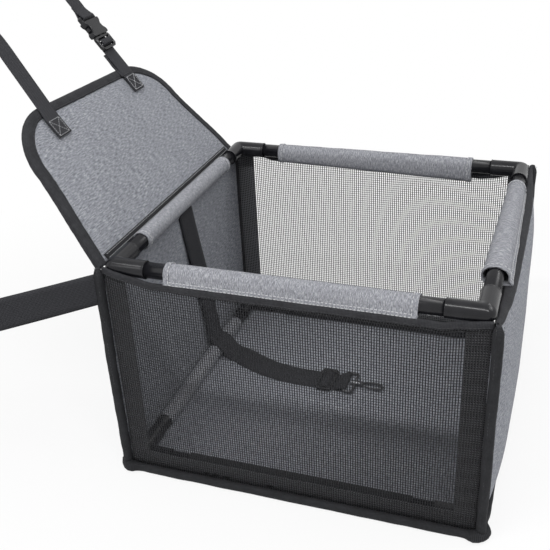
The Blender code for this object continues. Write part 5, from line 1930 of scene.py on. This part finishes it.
@dataclass
class SeatBackStrap(Assembly):
    """Wide webbing that leaves the rear left corner for the back of the car's seat."""

    width: float = 0.038
    length: float = 0.112
    middle: float = 0.2541
    root: float = 0.0020
    thread_lift: float = 0.0002
    row_inset: float = 0.003

    def build(self) -> None:
        """Build the webbing with its sewn loop and stitches."""
        slant = math.sqrt(0.5)
        ahead, over = Vector((-slant, slant, 0)), Vector((-slant, -slant, 0))
        corner = Vector((-HALF_WIDTH - ROLL_CENTRE, HALF_LENGTH + ROLL_CENTRE, self.middle))
        start = corner + ahead * self.root
        points = [(0.0, 0.0), (self.length * 0.5, HALF_WEBBING), *end_loop(self.length)]
        route = Trail(rounded([start + ahead * x + over * y for x, y in points], 4))
        bm = ribbon_along(route, self.width, UP, 90, curl=0.0002)
        name = "seat_back_strap"
        self.keep(f"{name}_webbing", bm, WEBBING, Body.SEAT_BACK_WEBBING, [name], WEBBING_SHEET)
        threads = bmesh.new()
        for row in LOOP_ROWS:
            foot = start + ahead * (self.length + row) + over * (WEBBING_THICKNESS + self.thread_lift)
            reach = UP * (self.width / 2 - self.row_inset)
            path = Trail([foot - reach, foot + reach])
            stitch_row(threads, path, over, LOOP_STITCH)
        self.keep(f"{name}_stitches", threads, PALE_THREAD, Body.SEAT_BACK_WEBBING, sharp=40)


@dataclass
class Tether(Assembly):
    """Safety tether: webbing down the back wall and over the floor, with its metal and slide."""

    width: float = 0.038
    line: float = 0.028
    loop_start: float = 0.0102
    loop_neck: float = 0.0048
    eye_bar: float = 0.0026
    eye_height: float = 0.0096
    floor_gap: float = 0.0003
    wall_points: tuple[Place, ...] = (
        (0.0125, 0.2098, 0.2545), (0.0148, 0.2098, 0.2450), (0.0225, 0.2098, 0.2150),
        (0.0320, 0.2097, 0.1800), (0.0415, 0.2094, 0.1450), (0.0500, 0.2090, 0.1100),
        (0.0560, 0.2082, 0.0800), (0.0590, 0.2068, 0.0550), (0.0600, 0.2050, 0.0380),
        (0.0602, 0.2010, 0.0284),
    )
    floor_points: tuple[Place, ...] = (
        (0.0602, 0.2010, 0.0284), (0.0602, 0.1950, 0.0270), (0.0602, 0.1880, 0.0215),
        (0.0600, 0.1800, 0.0120), (0.0596, 0.1720, 0.0068), (0.0562, 0.1600, 0.0061),
        (0.0500, 0.1480, 0.0060), (0.0420, 0.1300, 0.0060), (0.0350, 0.1100, 0.0060),
        (0.0300, 0.0850, 0.0060), (0.0280, 0.0630, 0.0060), (0.0280, 0.0460, 0.0060),
        (0.0280, 0.0380, 0.0060), (0.0280, 0.0340, 0.0062), (0.0280, 0.0308, 0.0085),
        (0.0280, 0.0285, 0.0112), (0.0280, 0.0250, 0.0117), (0.0280, 0.0215, 0.0112),
        (0.0280, 0.0192, 0.0085), (0.0280, 0.0160, 0.0062), (0.0280, 0.0125, 0.0060),
        (0.0280, 0.0105, 0.0060),
    )

    def build(self, nodes: dict[str, bpy.types.Object]) -> None:
        """Build the webbing and dress the metal and the slide.

        Args:
            nodes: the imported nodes.
        """
        self.wall_part()
        bm = self.webbing(Trail(rounded(self.floor_points, 4)), 150)
        self.keep("tether_floor_webbing", bm, WEBBING, Body.BASE, ["tether_strap"], WEBBING_SHEET)
        for name in ("swivel_eye", "snap_hook", "hook_gate"):
            dress(nodes[name], METAL)
        dress(nodes["tether_adjuster"], BUCKLE)
        self.loop()

    def wall_part(self) -> None:
        """Build the stretch on the back wall."""
        bm = self.webbing(Trail(rounded(self.wall_points, 4)), 90)
        thing = self.keep("tether_wall_webbing", bm, WEBBING, Body.BASE, (), WEBBING_SHEET)
        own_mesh(thing)

    def webbing(self, route: Trail, steps: int) -> bmesh.types.BMesh:
        """Build webbing that lies square to its own way along a route.

        Args:
            route: middle of the webbing.
            steps: rows of faces along it.

        Returns:
            Its mesh.
        """

        def spot(u: float, v: float) -> Vector:
            ahead = route.heading(u)
            out = Vector((0, -ahead.z, ahead.y)).normalized()
            across = out.cross(ahead).normalized()
            return route.at(u) + across * (self.width * (v - 0.5))

        return mapped_grid(steps, WEBBING_COLUMNS, spot, lambda u, v: (self.width * v, route.length * u))

    def loop(self) -> None:
        """Build the sewn end of the tether round its eye."""
        start, low = self.loop_start, FLOOR_TOP + self.floor_gap + HALF_WEBBING
        radius = self.eye_bar + HALF_WEBBING
        centre_y = start - self.loop_neck - 3 * self.eye_bar
        points = [(start - 0.002, low + WEBBING_THICKNESS + 0.0004)]
        for step in range(11):
            angle = math.radians(80 + 190 * step / 10)
            points.append((centre_y + radius * math.cos(angle), self.eye_height + radius * math.sin(angle)))
        points += [(start - 0.003, low), (start, low)]
        route = Trail(rounded([Vector((self.line, y, z)) for y, z in points], 4))
        bm = ribbon_along(route, self.width, Vector((1, 0, 0)), 60)
        self.keep("tether_loop_webbing", bm, WEBBING, Body.BASE, ["tether_loop"], WEBBING_SHEET)


def dress(thing: bpy.types.Object, finish: Finish) -> None:
    """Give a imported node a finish."""
    for place in thing.material_slots:
        place.material = finish.made()
    LOG.info("%s dressed as %s", thing.name, finish.name)


@dataclass
class Buckle(Assembly):
    """Side-release buckle between the flap and its right strap."""

    def build(self, nodes: dict[str, bpy.types.Object]) -> None:
        """Dress the plug, its prongs and the socket.

        Args:
            nodes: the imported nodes.
        """
        for name in ("buckle_plug", "buckle_socket", "buckle_prong_left", "buckle_prong_right"):
            dress(nodes[name], BUCKLE)


# Studio


@dataclass
class Studio:
    """Camera at the photograph's angle, soft white light and a white floor."""

    azimuth: float = math.radians(-20.44)
    elevation: float = math.radians(28.29)
    roll: float = math.radians(-3.03)
    location: Place = (-0.9120, -0.2561, 0.7049)
    image_width: float = 550.0
    focal: float = 854.4
    sensor: float = 36.0
    sky: float = 0.40
    floor_glow: float = 0.84

    def build(self) -> None:
        """Set the camera, the lights, the world and the floor."""
        self.camera()
        self.world()
        self.lamps()
        self.floor()
        bpy.context.scene.view_settings.view_transform = "Standard"

    def camera(self) -> None:
        """Place the camera."""
        level = math.cos(self.elevation)
        ahead = Vector((
            math.sin(self.azimuth) * level, math.cos(self.azimuth) * level, -math.sin(self.elevation)
        ))
        right = ahead.cross(UP).normalized()
        over = right.cross(ahead)
        turned_right = right * math.cos(self.roll) + over * math.sin(self.roll)
        turned_over = over * math.cos(self.roll) - right * math.sin(self.roll)
        axes = [Vector((v.y, -v.x, v.z)) for v in (turned_right, turned_over, -ahead)]
        lens = bpy.data.cameras.new("camera")
        lens.sensor_width = self.sensor
        lens.lens = self.focal / self.image_width * self.sensor
        lens.clip_start = 0.02
        view = bpy.data.objects.new("camera", lens)
        view.matrix_world = Matrix(axes).transposed().to_4x4()
        view.location = self.location
        bpy.context.scene.collection.objects.link(view)
        bpy.context.scene.camera = view

    def world(self) -> None:
        """Light the seat evenly, with a white background for the camera and for gloss."""
        world = bpy.data.worlds.new("studio")
        bpy.context.scene.world = world
        world.use_nodes = True
        tree = world.node_tree
        tree.nodes.clear()
        board = Board.over(tree)
        light = board.node("ShaderNodeBackground", None, {"Color": (1, 1, 1, 1), "Strength": self.sky})
        white = board.node("ShaderNodeBackground", None, {"Color": (1, 1, 1, 1), "Strength": 1.0})
        mixed = board.node("ShaderNodeMixShader", None, {
            0: board.shown(), 1: Tap(board, light.outputs[0]), 2: Tap(board, white.outputs[0]),
        })
        out = board.node("ShaderNodeOutputWorld")
        tree.links.new(mixed.outputs[0], out.inputs["Surface"])

    def lamps(self) -> None:
        """Hang a soft lamp over the front, two narrow ones for the gloss and a small one behind."""
        for name, place, size, power in (
            ("key", (0.35, -1.5, 1.9), (1.0, 1.0), 9.0),
            ("strip", (-1.05, 0.0, 1.95), (2.4, 0.16), 29.0),
            ("glint", (0.95, -1.05, 1.75), (1.4, 0.08), 5.0),
            ("edge", (-1.6, 0.9, 1.3), (0.5, 0.5), 3.0),
        ):
            light = bpy.data.lights.new(name, "AREA")
            light.shape = "RECTANGLE"
            light.size, light.size_y = size
            light.energy = power
            lamp = bpy.data.objects.new(name, light)
            aim = Vector((0, 0, 0.15)) - Vector(place)
            lamp.rotation_euler = aim.to_track_quat("-Z", "Y").to_euler()
            lamp.location = place
            bpy.context.scene.collection.objects.link(lamp)

    def floor(self) -> None:
        """Lay a white floor that keeps the seat's shadow."""
        bm = bmesh.new()
        bmesh.ops.create_grid(bm, x_segments=8, y_segments=8, size=6.0)
        mesh = bpy.data.meshes.new("floor")
        bm.to_mesh(mesh)
        bm.free()
        ground = bpy.data.objects.new("floor", mesh)
        bpy.context.scene.collection.objects.link(ground)
        board = Board("floor_white")
        board.done(Base_Color=(0.93, 0.93, 0.93), Roughness=0.9, Specular_IOR_Level=0.1)
        place = board.object_place()
        x, y = board.axis(place, 0), board.axis(place, 1)
        away = (x * x + y * y).between(0.16, 0.9)
        seen = board.shown() * (away * (1 - self.floor_glow) + self.floor_glow)
        glow = board.node("ShaderNodeEmission", None, {"Color": (1, 1, 1, 1), "Strength": 1.0})
        mixed = board.node("ShaderNodeMixShader", None, {
            0: seen, 1: Tap(board, board.shader.outputs[0]), 2: Tap(board, glow.outputs[0]),
        })
        out = board.tree.nodes["Material Output"]
        board.tree.links.new(mixed.outputs[0], out.inputs["Surface"])
        mesh.materials.append(board.material)


def main() -> None:
    """Load the frame, build the sub-assemblies in order and report each piece."""
    logging.basicConfig(level=logging.INFO, format="%(name)s: %(message)s")
    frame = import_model()
    nodes = frame["nodes"]
    Studio().build()
    TubeRing(prefix="rim", height=RIM_HEIGHT, body=Body.RIM).build()
    TubeRing(prefix="base", height=BASE_AXIS, body=Body.BASE).build()
    SleeveSet().build()
    SleeveSet(prefix="base", height=BASE_AXIS, body=Body.BASE, foot_out=0.0100, foot_drop=0.0096).build()
    SoftBox().build()
    Floor().build(nodes)
    Flap().build()
    Buckle().build(nodes)
    SeatBackStrap().build()
    Tether().build(nodes)


if __name__ == "__main__":
    main()
